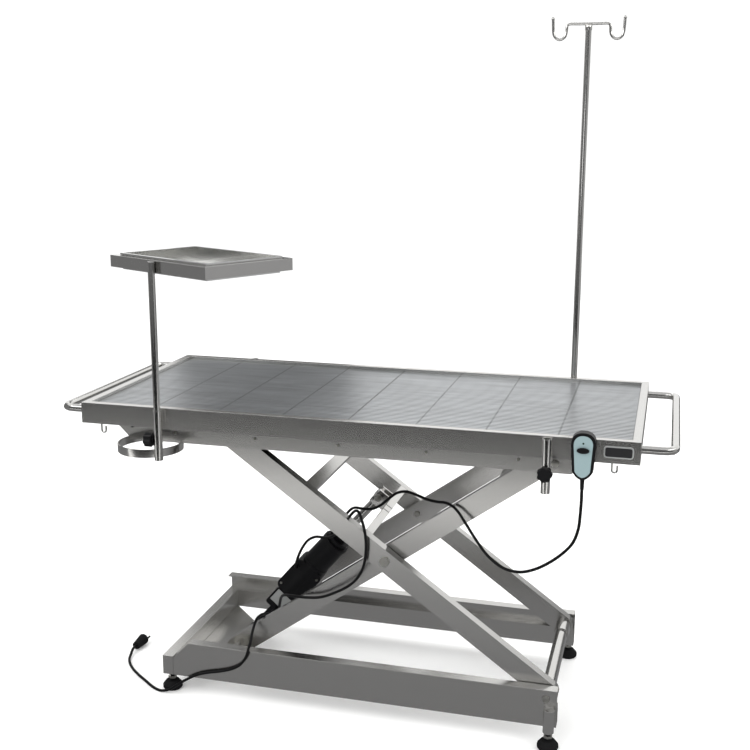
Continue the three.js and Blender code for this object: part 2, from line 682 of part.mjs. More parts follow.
// Bearers under the panels, welded to two strips that lie on the sub-frame
function bearers() {
  const halfY = HALF_WIDTH - RIM_WIDTH - GAP;
  let grid = null;
  for (const side of [-1, 1]) {
    const [y0, y1] = side < 0 ? [-RAIL_HALF_WIDTH, -RAIL_LIP] : [RAIL_LIP, RAIL_HALF_WIDTH];
    const strip = box(SUB_LEFT, SUB_RIGHT, y0, y1, BEARER_BOTTOM, BEARER_TOP);
    grid = grid ? grid.add(strip) : strip;
  }
  for (const x of BEARER_X) {
    const half = BEARER_WIDTH / 2;
    grid = grid.add(box(x - half, x + half, -halfY, halfY, BEARER_BOTTOM, BEARER_TOP));
  }
  return grid;
}
addPiece("panel_bearers", bearers(), brushedSteel);

// A rectangular ring with walls of the given outer and inner half sizes
function rectRing(halfX, halfY, innerX, innerY, z0, z1) {
  const outer = box(-halfX, halfX, -halfY, halfY, z0, z1);
  return outer.subtract(box(-innerX, innerX, -innerY, innerY, z0 - 1, z1 + 1));
}

// Table frame: folded sheet with an apron, a flat rim, an inner wall and a ledge
function tableFrame() {
  const x = HALF_LENGTH;
  const y = HALF_WIDTH;
  const inX = x - RIM_WIDTH;
  const inY = y - RIM_WIDTH;
  const apron = rectRing(x, y, x - SHEET, y - SHEET, APRON_BOTTOM, TOP_HEIGHT);
  const rim = rectRing(x, y, inX, inY, TOP_HEIGHT - SHEET, TOP_HEIGHT);
  const wall = rectRing(inX + SHEET, inY + SHEET, inX, inY, LEDGE_BOTTOM, TOP_HEIGHT);
  const ledgeX = inX - LEDGE_WIDTH;
  const ledgeY = inY - LEDGE_WIDTH;
  const ledge = rectRing(inX + SHEET, inY + SHEET, ledgeX, ledgeY, LEDGE_BOTTOM, LEDGE_TOP);
  return apron.add(rim).add(wall).add(ledge);
}
addPiece("table_frame", tableFrame(), brushedSteel);

// Grooved panels, which lift out of the frame
function panel(side) {
  const halfY = HALF_WIDTH - RIM_WIDTH - GAP;
  const bottom = LEDGE_TOP + GAP;
  const count = Math.floor((2 * halfY - GROOVE_PITCH) / GROOVE_PITCH);
  const first = (-(count - 1) * GROOVE_PITCH) / 2;
  const hollowTop = PANEL_TOP - GROOVE_DEPTH - SHEET;
  const profile = [
    [-halfY, bottom],
    [-halfY + LEDGE_WIDTH, bottom],
    [-halfY + LEDGE_WIDTH, hollowTop],
    [halfY - LEDGE_WIDTH, hollowTop],
    [halfY - LEDGE_WIDTH, bottom],
    [halfY, bottom],
    [halfY, PANEL_TOP],
  ];
  for (let i = count - 1; i >= 0; i -= 1) {
    const mid = first + i * GROOVE_PITCH;
    profile.push([mid + GROOVE_WIDTH / 2, PANEL_TOP]);
    profile.push([mid + GROOVE_WIDTH / 2, PANEL_TOP - GROOVE_DEPTH]);
    profile.push([mid - GROOVE_WIDTH / 2, PANEL_TOP - GROOVE_DEPTH]);
    profile.push([mid - GROOVE_WIDTH / 2, PANEL_TOP]);
  }
  profile.push([-halfY, PANEL_TOP]);
  const far = HALF_LENGTH - RIM_WIDTH - GAP;
  const [x0, x1] = side < 0 ? [-far, -GAP] : [GAP, far];
  return sectionX(profile, x0, x1);
}
addPiece("panel_left", panel(-1), grooveSteel);
addPiece("panel_right", panel(1), grooveSteel);

// Handles: a round tube bent to a U at each end of the table
function handle(side) {
  const start = side * (HALF_LENGTH + GAP);
  const out = side * (HALF_LENGTH + HANDLE_REACH);
  const bend = out - side * HANDLE_CORNER;
  const z = TOP_HEIGHT - HANDLE_DROP;
  const at = (x, y) => new THREE.Vector3(x, y, z);
  const span = HANDLE_HALF_SPAN;
  const path = new THREE.CurvePath();
  const straight = span - HANDLE_CORNER;
  path.add(new THREE.LineCurve3(at(start, -span), at(bend, -span)));
  path.add(new THREE.QuadraticBezierCurve3(at(bend, -span), at(out, -span), at(out, -straight)));
  path.add(new THREE.LineCurve3(at(out, -straight), at(out, straight)));
  path.add(new THREE.QuadraticBezierCurve3(at(out, straight), at(out, span), at(bend, span)));
  path.add(new THREE.LineCurve3(at(bend, span), at(start, span)));
  return rodAlong(path, HANDLE_RADIUS, 48, 12);
}
addPiece("handle_left", handle(-1), polishedSteel);
addPiece("handle_right", handle(1), polishedSteel);

// Accessory sockets: a tube on a weld plate, drilled for the knob's screw
const sockets = [
  { name: "front_left", x: SOCKET_X_LEFT, side: -1, knob: new THREE.Vector3(-1, 0, 0) },
  { name: "front_right", x: SOCKET_X_RIGHT, side: -1, knob: new THREE.Vector3(0, -1, 0) },
  { name: "rear_left", x: SOCKET_X_LEFT, side: 1, knob: new THREE.Vector3(0, 1, 0) },
  { name: "rear_right", x: SOCKET_X_RIGHT, side: 1, knob: new THREE.Vector3(0, 1, 0) },
];
function knobScrew(socket, radius, from, to) {
  const y = socket.side * SOCKET_Y;
  const { x: dx, y: dy } = socket.knob;
  if (dx !== 0) {
    const [a, b] = dx < 0 ? [socket.x - to, socket.x - from] : [socket.x + from, socket.x + to];
    return barX(radius, a, b, y, KNOB_HEIGHT, 16);
  }
  const [a, b] = dy < 0 ? [y - to, y - from] : [y + from, y + to];
  return barY(radius, a, b, socket.x, KNOB_HEIGHT, 16);
}
function socketTube(socket) {
  const y = socket.side * SOCKET_Y;
  let tube = barZ(SOCKET_RADIUS, SOCKET_BOTTOM, SOCKET_TOP, socket.x, y);
  const half = SOCKET_PLATE_WIDTH / 2;
  const face = HALF_WIDTH + GAP;
  const inward = face + 2 * SOCKET_PLATE;
  const [y0, y1] = socket.side < 0 ? [-inward, -face] : [face, inward];
  tube = tube.add(box(socket.x - half, socket.x + half, y0, y1, APRON_BOTTOM, SOCKET_TOP));
  tube = tube.subtract(barZ(SOCKET_BORE, SOCKET_BOTTOM - 1, SOCKET_TOP + 1, socket.x, y));
  return tube.subtract(knobScrew(socket, KNOB_SCREW_RADIUS + RUNNING_GAP, 0, SOCKET_RADIUS + 1));
}
// Star knob: a lobed head on a short hub and its screw
function starKnob(socket) {
  const start = SOCKET_RADIUS + KNOB_STANDOFF;
  const y = socket.side * SOCKET_Y;
  const outline = new THREE.Shape();
  const points = KNOB_LOBES * KNOB_POINTS_PER_LOBE;
  for (let i = 0; i < points; i += 1) {
    const angle = (2 * Math.PI * i) / points;
    const r = KNOB_RADIUS + KNOB_LOBE_DEPTH * (Math.cos(KNOB_LOBES * angle) - 1);
    if (i === 0) outline.moveTo(r, 0);
    else outline.lineTo(r * Math.cos(angle), r * Math.sin(angle));
  }
  outline.closePath();
  const head = new THREE.ExtrudeGeometry(outline, { depth: KNOB_THICKNESS, bevelEnabled: false });
  head.translate(0, 0, start);
  const turn = new THREE.Quaternion().setFromUnitVectors(new THREE.Vector3(0, 0, 1), socket.knob);
  head.applyQuaternion(turn).translate(socket.x, y, KNOB_HEIGHT);
  const screw = knobScrew(socket, KNOB_SCREW_RADIUS, SOCKET_BORE + RUNNING_GAP, start + 1);
  const hub = knobScrew(socket, KNOB_RADIUS / 2, SOCKET_RADIUS + 2 * GAP, start + 1);
  return solid(head).add(screw).add(hub);
}
for (const socket of sockets) {
  addPiece("socket_" + socket.name, socketTube(socket), polishedSteel);
  addPiece("knob_" + socket.name, starKnob(socket), blackPlastic);
}

// Ring holder under the sub-frame, on a short bracket behind the front left socket
function ringHolder() {
  const y = -HALF_WIDTH + RING_FROM_APRON;
  const top = SUB_BOTTOM - RING_DROP;
  const bottom = top - RING_HEIGHT;
  const awayX = RING_X - SOCKET_X_LEFT;
  const awayY = y + SOCKET_Y;
  const start = SOCKET_RADIUS + GAP;
  const end = Math.hypot(awayX, awayY) - RING_RADIUS + RING_WALL;
  const half = RING_BRACKET_WIDTH / 2;
  const bracket = box(start, end, -half, half, bottom + RING_BRACKET_INSET, top - RING_BRACKET_INSET)
    .rotate([0, 0, THREE.MathUtils.radToDeg(Math.atan2(awayY, awayX))])
    .translate([SOCKET_X_LEFT, -SOCKET_Y, 0]);
  const ring = barZ(RING_RADIUS, bottom, top, RING_X, y, 40).add(bracket);
  return ring.subtract(barZ(RING_RADIUS - RING_WALL, 0, top + 1, RING_X, y, 40));
}
addPiece("ring_holder", ringHolder(), polishedSteel);

// Drip pole in the rear right socket, and the hook bar on top of it
const ivY = SOCKET_Y;
addPiece("iv_pole", barZ(POST_RADIUS, SOCKET_BOTTOM, IV_TOP, SOCKET_X_RIGHT, ivY), polishedSteel);
function ivHooks() {
  const z = IV_TOP + GAP + IV_ROD_RADIUS;
  const at = (x, dz) => new THREE.Vector3(SOCKET_X_RIGHT + x, ivY, z + dz);
  const drop = -IV_HOOK_DROP;
  const turn = IV_ARM + IV_BEND;
  const side = drop - IV_HOOK_DEPTH * 0.6;
  const half = [
    [IV_ARM, 0],
    [IV_ARM + IV_BEND * 0.6, -IV_BEND * 0.3],
    [IV_ARM + IV_BEND * 0.75, -IV_BEND * 1.1],
    [turn, drop],
    [turn + IV_HOOK_RADIUS * 0.3, side],
    [turn + IV_HOOK_RADIUS, drop - IV_HOOK_DEPTH],
    [turn + IV_HOOK_RADIUS * 1.7, side],
    [turn + IV_HOOK_RADIUS * 2, drop],
    [turn + IV_HOOK_RADIUS * 2 + IV_TIP_LEAN, drop + IV_TIP_RISE],
  ];
  const points = [
    ...half.map(([x, dz]) => at(-x, dz)).reverse(),
    at(-IV_ARM / 2, 0),
    at(0, 0),
    at(IV_ARM / 2, 0),
    ...half.map(([x, dz]) => at(x, dz)),
  ];
  const path = new THREE.CatmullRomCurve3(points, false, "centripetal");
  return rodAlong(path, IV_ROD_RADIUS, 64, 8);
}
addPiece("iv_hooks", ivHooks(), polishedSteel);

// Instrument tray on its post in the front left socket
const trayPost = new THREE.Vector2(SOCKET_X_LEFT, -SOCKET_Y);
const trayPostTop = TRAY_TOP - TRAY_POST_DROP;
const trayPostRod = barZ(POST_RADIUS, SOCKET_BOTTOM, trayPostTop, trayPost.x, trayPost.y);
addPiece("tray_post", trayPostRod, polishedSteel);
const trayGroup = new THREE.Group();
trayGroup.position.set(trayPost.x, trayPost.y, 0);
trayGroup.rotation.z = THREE.MathUtils.degToRad(TRAY_TURN);
table.add(trayGroup);
const trayMidX = TRAY_POST_OFFSET;
const trayMidY = POST_RADIUS + GAP + TRAY_WIDTH / 2;
function trayFrame() {
  const halfX = TRAY_LENGTH / 2;
  const halfY = TRAY_WIDTH / 2;
  const z0 = TRAY_TOP - TRAY_RIM_HEIGHT;
  const rim = rectRing(halfX, halfY, halfX - TRAY_RIM_WIDTH, halfY - TRAY_RIM_WIDTH, z0, TRAY_TOP);
  const channel = rectRing(
    halfX - TRAY_WALL,
    halfY - TRAY_WALL,
    halfX - TRAY_RIM_WIDTH + TRAY_WALL,
    halfY - TRAY_RIM_WIDTH + TRAY_WALL,
    z0 - 1,
    TRAY_TOP - TRAY_WALL,
  );
  return rim.subtract(channel).translate(trayMidX, trayMidY, 0);
}
addPiece("tray_frame", trayFrame(), polishedSteel, trayGroup);
function trayPan() {
  const halfX = TRAY_LENGTH / 2 - TRAY_RIM_WIDTH - 2 * GAP;
  const halfY = TRAY_WIDTH / 2 - TRAY_RIM_WIDTH - 2 * GAP;
  const z0 = TRAY_TOP - TRAY_PAN_DEPTH;
  const lipZ = TRAY_TOP + GAP;
  const lipTop = lipZ + TRAY_LIP_HEIGHT;
  const pan = box(-halfX, halfX, -halfY, halfY, z0, lipTop);
  const lip = box(-halfX - TRAY_LIP, halfX + TRAY_LIP, -halfY - TRAY_LIP, halfY + TRAY_LIP, lipZ, lipTop);
  const inside = box(
    -halfX + TRAY_WALL,
    halfX - TRAY_WALL,
    -halfY + TRAY_WALL,
    halfY - TRAY_WALL,
    z0 + TRAY_WALL,
    lipTop + 1,
  );
  return pan.add(lip).subtract(inside).translate(trayMidX, trayMidY, 0);
}
addPiece("tray_pan", trayPan(), polishedSteel, trayGroup);

// Actuator, drawn along +X from its foot pin in a turned group
const pushPin = new THREE.Vector3(-PUSH_PIN_AT, 0, PUSH_PIN_ABOVE)
  .applyAxisAngle(new THREE.Vector3(0, 1, 0), LIFT_ANGLE)
  .add(new THREE.Vector3(PIVOT_X, 0, PIVOT_LOW));
const actuatorLength = Math.hypot(pushPin.x - FOOT_PIN_X, pushPin.z - FOOT_PIN_Z);
const actuatorAngle = Math.atan2(pushPin.z - FOOT_PIN_Z, pushPin.x - FOOT_PIN_X);
const actuatorGroup = new THREE.Group();
actuatorGroup.position.set(FOOT_PIN_X, 0, FOOT_PIN_Z);
actuatorGroup.rotation.y = -actuatorAngle;
table.add(actuatorGroup);
const gearboxEnd = GEARBOX_START + GEARBOX_LENGTH;

// Gearbox with rounded edges and the foot eye that hangs on the bracket's pin
function gearbox() {
  const half = GEARBOX_THICKNESS / 2;
  const corners = [
    new THREE.Vector2(GEARBOX_START, -GEARBOX_BELOW),
    new THREE.Vector2(gearboxEnd, -GEARBOX_BELOW),
    new THREE.Vector2(gearboxEnd, GEARBOX_WIDTH - GEARBOX_BELOW),
    new THREE.Vector2(GEARBOX_START, GEARBOX_WIDTH - GEARBOX_BELOW),
  ];
  let body = plateXZ(roundedOutline(corners, GEARBOX_CORNER), -half, half);
  const eyeHalf = EYE_THICKNESS / 2;
  const tailEnd = GEARBOX_START + GEARBOX_CORNER;
  body = body.add(box(0, tailEnd, -eyeHalf, eyeHalf, -TAIL_HALF_HEIGHT, TAIL_HALF_HEIGHT));
  body = body.add(barY(EYE_RADIUS - EYE_FLAT, -eyeHalf, eyeHalf, 0, 0));
  return body.subtract(barY(FOOT_PIN_RADIUS + RUNNING_GAP, -half, half, 0, 0, 16));
}
addPiece("actuator_gearbox", gearbox(), blackPlastic, actuatorGroup);

// Motor housing round the outer tube: a rounded block, then a barrel with a stepped cap
function motor() {
  const x0 = gearboxEnd + GAP;
  const blockEnd = x0 + MOTOR_BLOCK_LENGTH;
  const end = x0 + MOTOR_LENGTH;
  const halfWidth = MOTOR_BLOCK_WIDTH / 2;
  const halfThick = MOTOR_BLOCK_THICKNESS / 2;
  const corners = [
    new THREE.Vector2(x0, -halfWidth),
    new THREE.Vector2(blockEnd, -halfWidth),
    new THREE.Vector2(blockEnd, halfWidth),
    new THREE.Vector2(x0, halfWidth),
  ];
  const barrel = barX(MOTOR_RADIUS, x0, end - MOTOR_CAP_LENGTH, 0, 0, 32);
  const cap = barX(MOTOR_RADIUS - MOTOR_CAP_STEP, x0, end, 0, 0, 32);
  const block = plateXZ(roundedOutline(corners, MOTOR_BLOCK_CORNER), -halfThick, halfThick);
  const housing = block.add(barrel).add(cap);
  return housing.subtract(barX(OUTER_TUBE_RADIUS + GAP, x0 - 1, end + 1, 0, 0));
}
addPiece("actuator_motor", motor(), blackPlastic, actuatorGroup);
function outerTube() {
  const x0 = gearboxEnd + GAP;
  const tube = barX(OUTER_TUBE_RADIUS, x0, x0 + OUTER_TUBE_LENGTH, 0, 0);
  return tube.subtract(barX(OUTER_TUBE_BORE, x0 - 1, x0 + OUTER_TUBE_LENGTH + 1, 0, 0));
}
addPiece("actuator_outer_tube", outerTube(), blackPlastic, actuatorGroup);

// Push rod with the eye that stands between the push tube's lugs
function pushRod() {
  const eyeHalf = EYE_THICKNESS / 2;
  const length = actuatorLength;
  const half = EYE_RADIUS - EYE_FLAT;
  let rod = barX(ROD_RADIUS, ROD_TAIL_DISTANCE, length - half, 0, 0);
  rod = rod.add(barY(EYE_RADIUS, -eyeHalf, eyeHalf, length, 0));
  return rod.add(box(length - EYE_RADIUS - EYE_NECK, length, -eyeHalf, eyeHalf, -half, half));
}
addPiece("actuator_rod", pushRod(), polishedSteel, actuatorGroup);

// Handset: a rounded body that narrows downwards, with its cord relief
const handsetBack = -HALF_WIDTH - GAP;
const handsetFront = handsetBack - HANDSET_THICKNESS;
function handsetOutline(inset) {
  const top = HANDSET_TOP - inset;
  const bottom = HANDSET_TOP - HANDSET_HEIGHT + inset;
  const wide = HANDSET_WIDTH / 2 - inset;
  const narrow = HANDSET_TAIL_WIDTH / 2 - inset / 2;
  const shoulder = HANDSET_TOP - HANDSET_WIDTH / 2;
  const waist = HANDSET_TOP - HANDSET_WAIST;
  const crown = top - HANDSET_CROWN;
  const spread = wide * HANDSET_CROWN_SPREAD;
  const low = wide - HANDSET_TAPER;
  const chin = bottom + HANDSET_CHIN;
  const x = HANDSET_X;
  const outline = new THREE.Shape();
  outline.moveTo(x - wide, shoulder);
  outline.bezierCurveTo(x - wide, crown, x - spread, top, x, top);
  outline.bezierCurveTo(x + spread, top, x + wide, crown, x + wide, shoulder);
  outline.lineTo(x + low, waist);
  outline.quadraticCurveTo(x + narrow, chin, x, bottom);
  outline.quadraticCurveTo(x - narrow, chin, x - low, waist);
  outline.closePath();
  return outline;
}
const reliefTop = HANDSET_TOP - HANDSET_HEIGHT + RELIEF_INSET;
const reliefBottom = reliefTop - RELIEF_LENGTH;
const handsetMidY = (handsetBack + handsetFront) / 2;
function handsetShell() {
  const body = plateXZ(handsetOutline(0), handsetFront, handsetBack);
  const relief = new THREE.CylinderGeometry(RELIEF_RADIUS, CORD_RADIUS + RELIEF_WALL, RELIEF_LENGTH, 12);
  relief.rotateX(Math.PI / 2).translate(HANDSET_X, handsetMidY, (reliefTop + reliefBottom) / 2);
  return body.add(solid(relief));
}
addPiece("handset_shell", handsetShell(), blackPlastic);
const faceBack = handsetFront - GAP;
const faceFront = faceBack - HANDSET_FACE_THICKNESS;
addPiece("handset_face", plateXZ(handsetOutline(HANDSET_FACE_INSET), faceFront, faceBack), paleFace);
function rocker() {
  const z = HANDSET_TOP - ROCKER_DROP;
  const outline = new THREE.Shape();
  outline.absellipse(HANDSET_X, z, ROCKER_WIDTH / 2, ROCKER_HEIGHT / 2, 0, 2 * Math.PI, false);
  const back = faceFront - ROCKER_GAP;
  return plateXZ(outline, back - ROCKER_THICKNESS, back);
}
addPiece("handset_rocker", rocker(), blackPlastic);

// Bare nameplate on the front apron
function nameplate() {
  const z = (TOP_HEIGHT + APRON_BOTTOM) / 2;
  const halfX = PLATE_WIDTH / 2;
  const halfZ = PLATE_HEIGHT / 2;
  const corners = [
    new THREE.Vector2(PLATE_X - halfX, z - halfZ),
    new THREE.Vector2(PLATE_X + halfX, z - halfZ),
    new THREE.Vector2(PLATE_X + halfX, z + halfZ),
    new THREE.Vector2(PLATE_X - halfX, z + halfZ),
  ];
  const back = -HALF_WIDTH - GAP;
  return plateXZ(roundedOutline(corners, PLATE_CORNER), back - PLATE_THICKNESS, back);
}
addPiece("nameplate", nameplate(), darkPlate);

// Cords, each a tube along points chosen by hand
function addCord(name, points, steps) {
  const path = new THREE.CatmullRomCurve3(
    points.map(([x, y, z]) => new THREE.Vector3(x, y, z)),
    false,
    "centripetal",
  );
  cordMeshes.push(addPiece(name, rodAlong(path, CORD_RADIUS, steps, CORD_SIDES), blackRubber));
}
addCord(
  "handset_cord",
  [
    [HANDSET_X, handsetMidY, reliefBottom - GAP],
    [HANDSET_X, handsetMidY, 630],
    [532, -312, 600],
    [529, -310, 566],
    [518, -305, 532],
    [497, -296, 503],
    [468, -284, 474],
    [435, -270, 449],
    [399, -256, 433],
    [360, -241, 433],
    [323, -226, 452],
    [291, -213, 485],
    [263, -200, 519],
    [239, -186, 543],
    [214, -168, 549],
    [187, -148, 543],
    [158, -128, 540],
    [129, -112, 543],
    [101, -100, 545],
    [76, -92, 537],
    [54, -86, 519],
    [32, -80, 498],
    [8, -72, 483],
    [-20, -58, 476],
    [-47, -40, 470],
    [-70, -14, 450],
    [-88, -2, 424],
    [-101.5, 0, 403.2],
    [-116.8, 0, 385.5],
  ],
  34,
);
addCord(
  "motor_lead",
  [
    [-204, -31.3, 294],
    [-204, -45, 294],
    [-202, -53, 304],
    [-196, -58, 322],
    [-188, -61, 342],
    [-176, -65, 364],
    [-160, -70, 384],
    [-138, -78, 397],
    [-110, -94, 404],
    [-80, -118, 420],
    [-50, -141, 452],
    [-28, -157, 486],
    [-10, -171, 508],
    [3, -188, 516],
    [13, -203, 514],
    [20, -210, 502],
    [26, -211, 482],
    [30, -211, 454],
    [30, -211, 424],
    [26, -211, 394],
    [16, -210, 368],
    [0, -207, 345],
    [-24, -203, 324],
    [-54, -197, 305],
    [-90, -190, 287],
    [-128, -186, 280],
    [-160, -178, 276],
    [-186, -160, 268],
    [-206, -138, 256],
    [-222, -112, 236],
    [-236, -84, 206],
    [-245, -64, 182],
    [-249, -54, 167],
    [-250, -46, 161],
    [-250, -32.3, 161],
  ],
  34,
);
addCord(
  "power_cord",
  [
    [-267, -32.3, 168.5],
    [-267, -48, 168.5],
    [-266, -78, 174],
    [-265, -112, 187],
    [-265, -146, 199],
    [-266, -174, 198],
    [-267, -200, 176],
    [-266, -216, 157],
    [-266, -226, 149],
    [-266, -234, 143],
    [-269, -237, 130],
    [-277, -237, 116],
    [-290, -236, 101],
    [-312, -236, 88],
    [-342, -236, 78],
    [-375, -236, 70],
    [-406, -236, 59],
    [-434, -237, 43],
    [-460, -238, 25],
    [-482, -239, 10],
    [-506, -238, 3.8],
    [-532, -227, 3.8],
    [-563, -204, 3.8],
    [-600, -176, 3.8],
    [-634, -145, 3.8],
    [-660, -110, 4.5],
    [-669, -82, 8],
    [PLUG_X, -66, PLUG_RADIUS],
    [PLUG_X, PLUG_Y - GAP, PLUG_RADIUS],
  ],
  34,
);

// Moulded plug that lies on the floor at the cord's end
function plug() {
  const z = PLUG_RADIUS;
  const y0 = PLUG_Y;
  const x = PLUG_X;
  const grip = new THREE.CylinderGeometry(PLUG_RADIUS, PLUG_RADIUS * PLUG_TAPER, PLUG_LENGTH, 16);
  grip.translate(x, y0 + PLUG_LENGTH / 2, z);
  let body = solid(grip);
  for (const side of [-1, 1]) {
    const pinX = x + (side * PLUG_PIN_SPACING) / 2;
    const end = y0 + PLUG_LENGTH;
    body = body.add(barY(PLUG_PIN_RADIUS, end - PLUG_PIN_ROOT, end + PLUG_PIN_LENGTH, pinX, z, 10));
  }
  return body;
}
cordMeshes.push(addPiece("power_plug", plug(), blackRubber));

// The origin stands on the floor under the middle of the table with its accessories, cords left out
function centreOnFloor() {
  table.updateMatrixWorld(true);
  const reach = new THREE.Box3();
  table.traverse((piece) => {
    if (piece.isMesh && !cordMeshes.includes(piece)) reach.expandByObject(piece, true);
  });
  const middle = reach.getCenter(new THREE.Vector3());
  for (const child of table.children) {
    child.position.x -= middle.x;
    child.position.y -= middle.y;
  }
}
centreOnFloor();

export default table;
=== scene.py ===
"""Looks for a veterinary exam table: finishes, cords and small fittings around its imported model."""

import logging
import math
from dataclasses import dataclass, field
from enum import Enum

import bmesh
import bpy
from mathutils import Matrix, Vector, geometry


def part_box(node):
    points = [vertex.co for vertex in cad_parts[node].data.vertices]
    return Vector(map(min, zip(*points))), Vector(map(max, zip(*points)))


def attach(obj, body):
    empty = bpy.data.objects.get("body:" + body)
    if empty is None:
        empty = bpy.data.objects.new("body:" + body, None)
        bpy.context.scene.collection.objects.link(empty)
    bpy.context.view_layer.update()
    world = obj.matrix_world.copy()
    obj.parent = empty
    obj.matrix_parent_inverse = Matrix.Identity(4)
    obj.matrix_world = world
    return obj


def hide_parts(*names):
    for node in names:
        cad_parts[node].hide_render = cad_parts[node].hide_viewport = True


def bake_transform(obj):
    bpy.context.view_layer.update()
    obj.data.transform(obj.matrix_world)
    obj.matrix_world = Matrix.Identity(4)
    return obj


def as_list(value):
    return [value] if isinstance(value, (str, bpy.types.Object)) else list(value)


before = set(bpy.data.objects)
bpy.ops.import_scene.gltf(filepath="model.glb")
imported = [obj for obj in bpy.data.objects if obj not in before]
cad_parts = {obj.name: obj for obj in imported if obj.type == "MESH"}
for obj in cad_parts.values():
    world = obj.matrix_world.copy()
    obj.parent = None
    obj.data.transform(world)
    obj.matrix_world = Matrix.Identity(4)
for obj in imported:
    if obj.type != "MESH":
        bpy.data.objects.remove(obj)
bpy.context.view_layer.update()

MM = 0.001
LOG = logging.getLogger("exam_table")
Route = tuple[tuple[float, float, float], ...]

# Angles between faces in degrees: up to the first, faces are merged into one flat; from the second,
# a solid's edges are rounded; from the third, a fitting's edges are shaded sharp.
FLAT_ANGLE = 0.5
ROUNDED_ANGLE = 32.0
SHARP_ANGLE = 35.0
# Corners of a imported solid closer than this, in millimetres, are one corner.
WELD_MM = 0.02
# Fittings stand this far off the face they sit on, in millimetres.
SEAT_GAP = 0.1


class Pattern(Enum):
    """How a surface was made."""

    BRUSHED = "brushed"
    POLISHED = "polished"
    MOULDED = "moulded"


class End(Enum):
    """The two ends of the table along X."""

    LEFT = -1
    RIGHT = 1


class Side(Enum):
    """The two long sides of the table."""

    FRONT = -1
    REAR = 1


def linear(hex_colour: str) -> tuple[float, float, float, float]:
    """Turns an sRGB hex colour into linear red, green, blue and alpha.

    Args:
        hex_colour: A colour such as "#B9B6B0".

    Returns:
        Four linear values from 0 to 1.
    """
    values = [int(hex_colour[i : i + 2], 16) / 255 for i in (1, 3, 5)]
    red, green, blue = [v / 12.92 if v <= 0.04045 else ((v + 0.055) / 1.055) ** 2.4 for v in values]
    return (red, green, blue, 1.0)


def add_node(
    tree: bpy.types.NodeTree, kind: str, inputs: dict[str | int, object], **settings: object
) -> bpy.types.Node:
    """Adds a node with its settings, values and links.

    Args:
        tree: The node tree.
        kind: The node's type name.
        inputs: Input name or number to a value, or to the output socket that feeds it.
        settings: Properties of the node.

    Returns:
        The new node.
    """
    new = tree.nodes.new(kind)
    for key, value in settings.items():
        setattr(new, key, value)
    for key, value in inputs.items():
        if isinstance(value, bpy.types.NodeSocket):
            tree.links.new(value, new.inputs[key])
        else:
            new.inputs[key].default_value = value
    return new


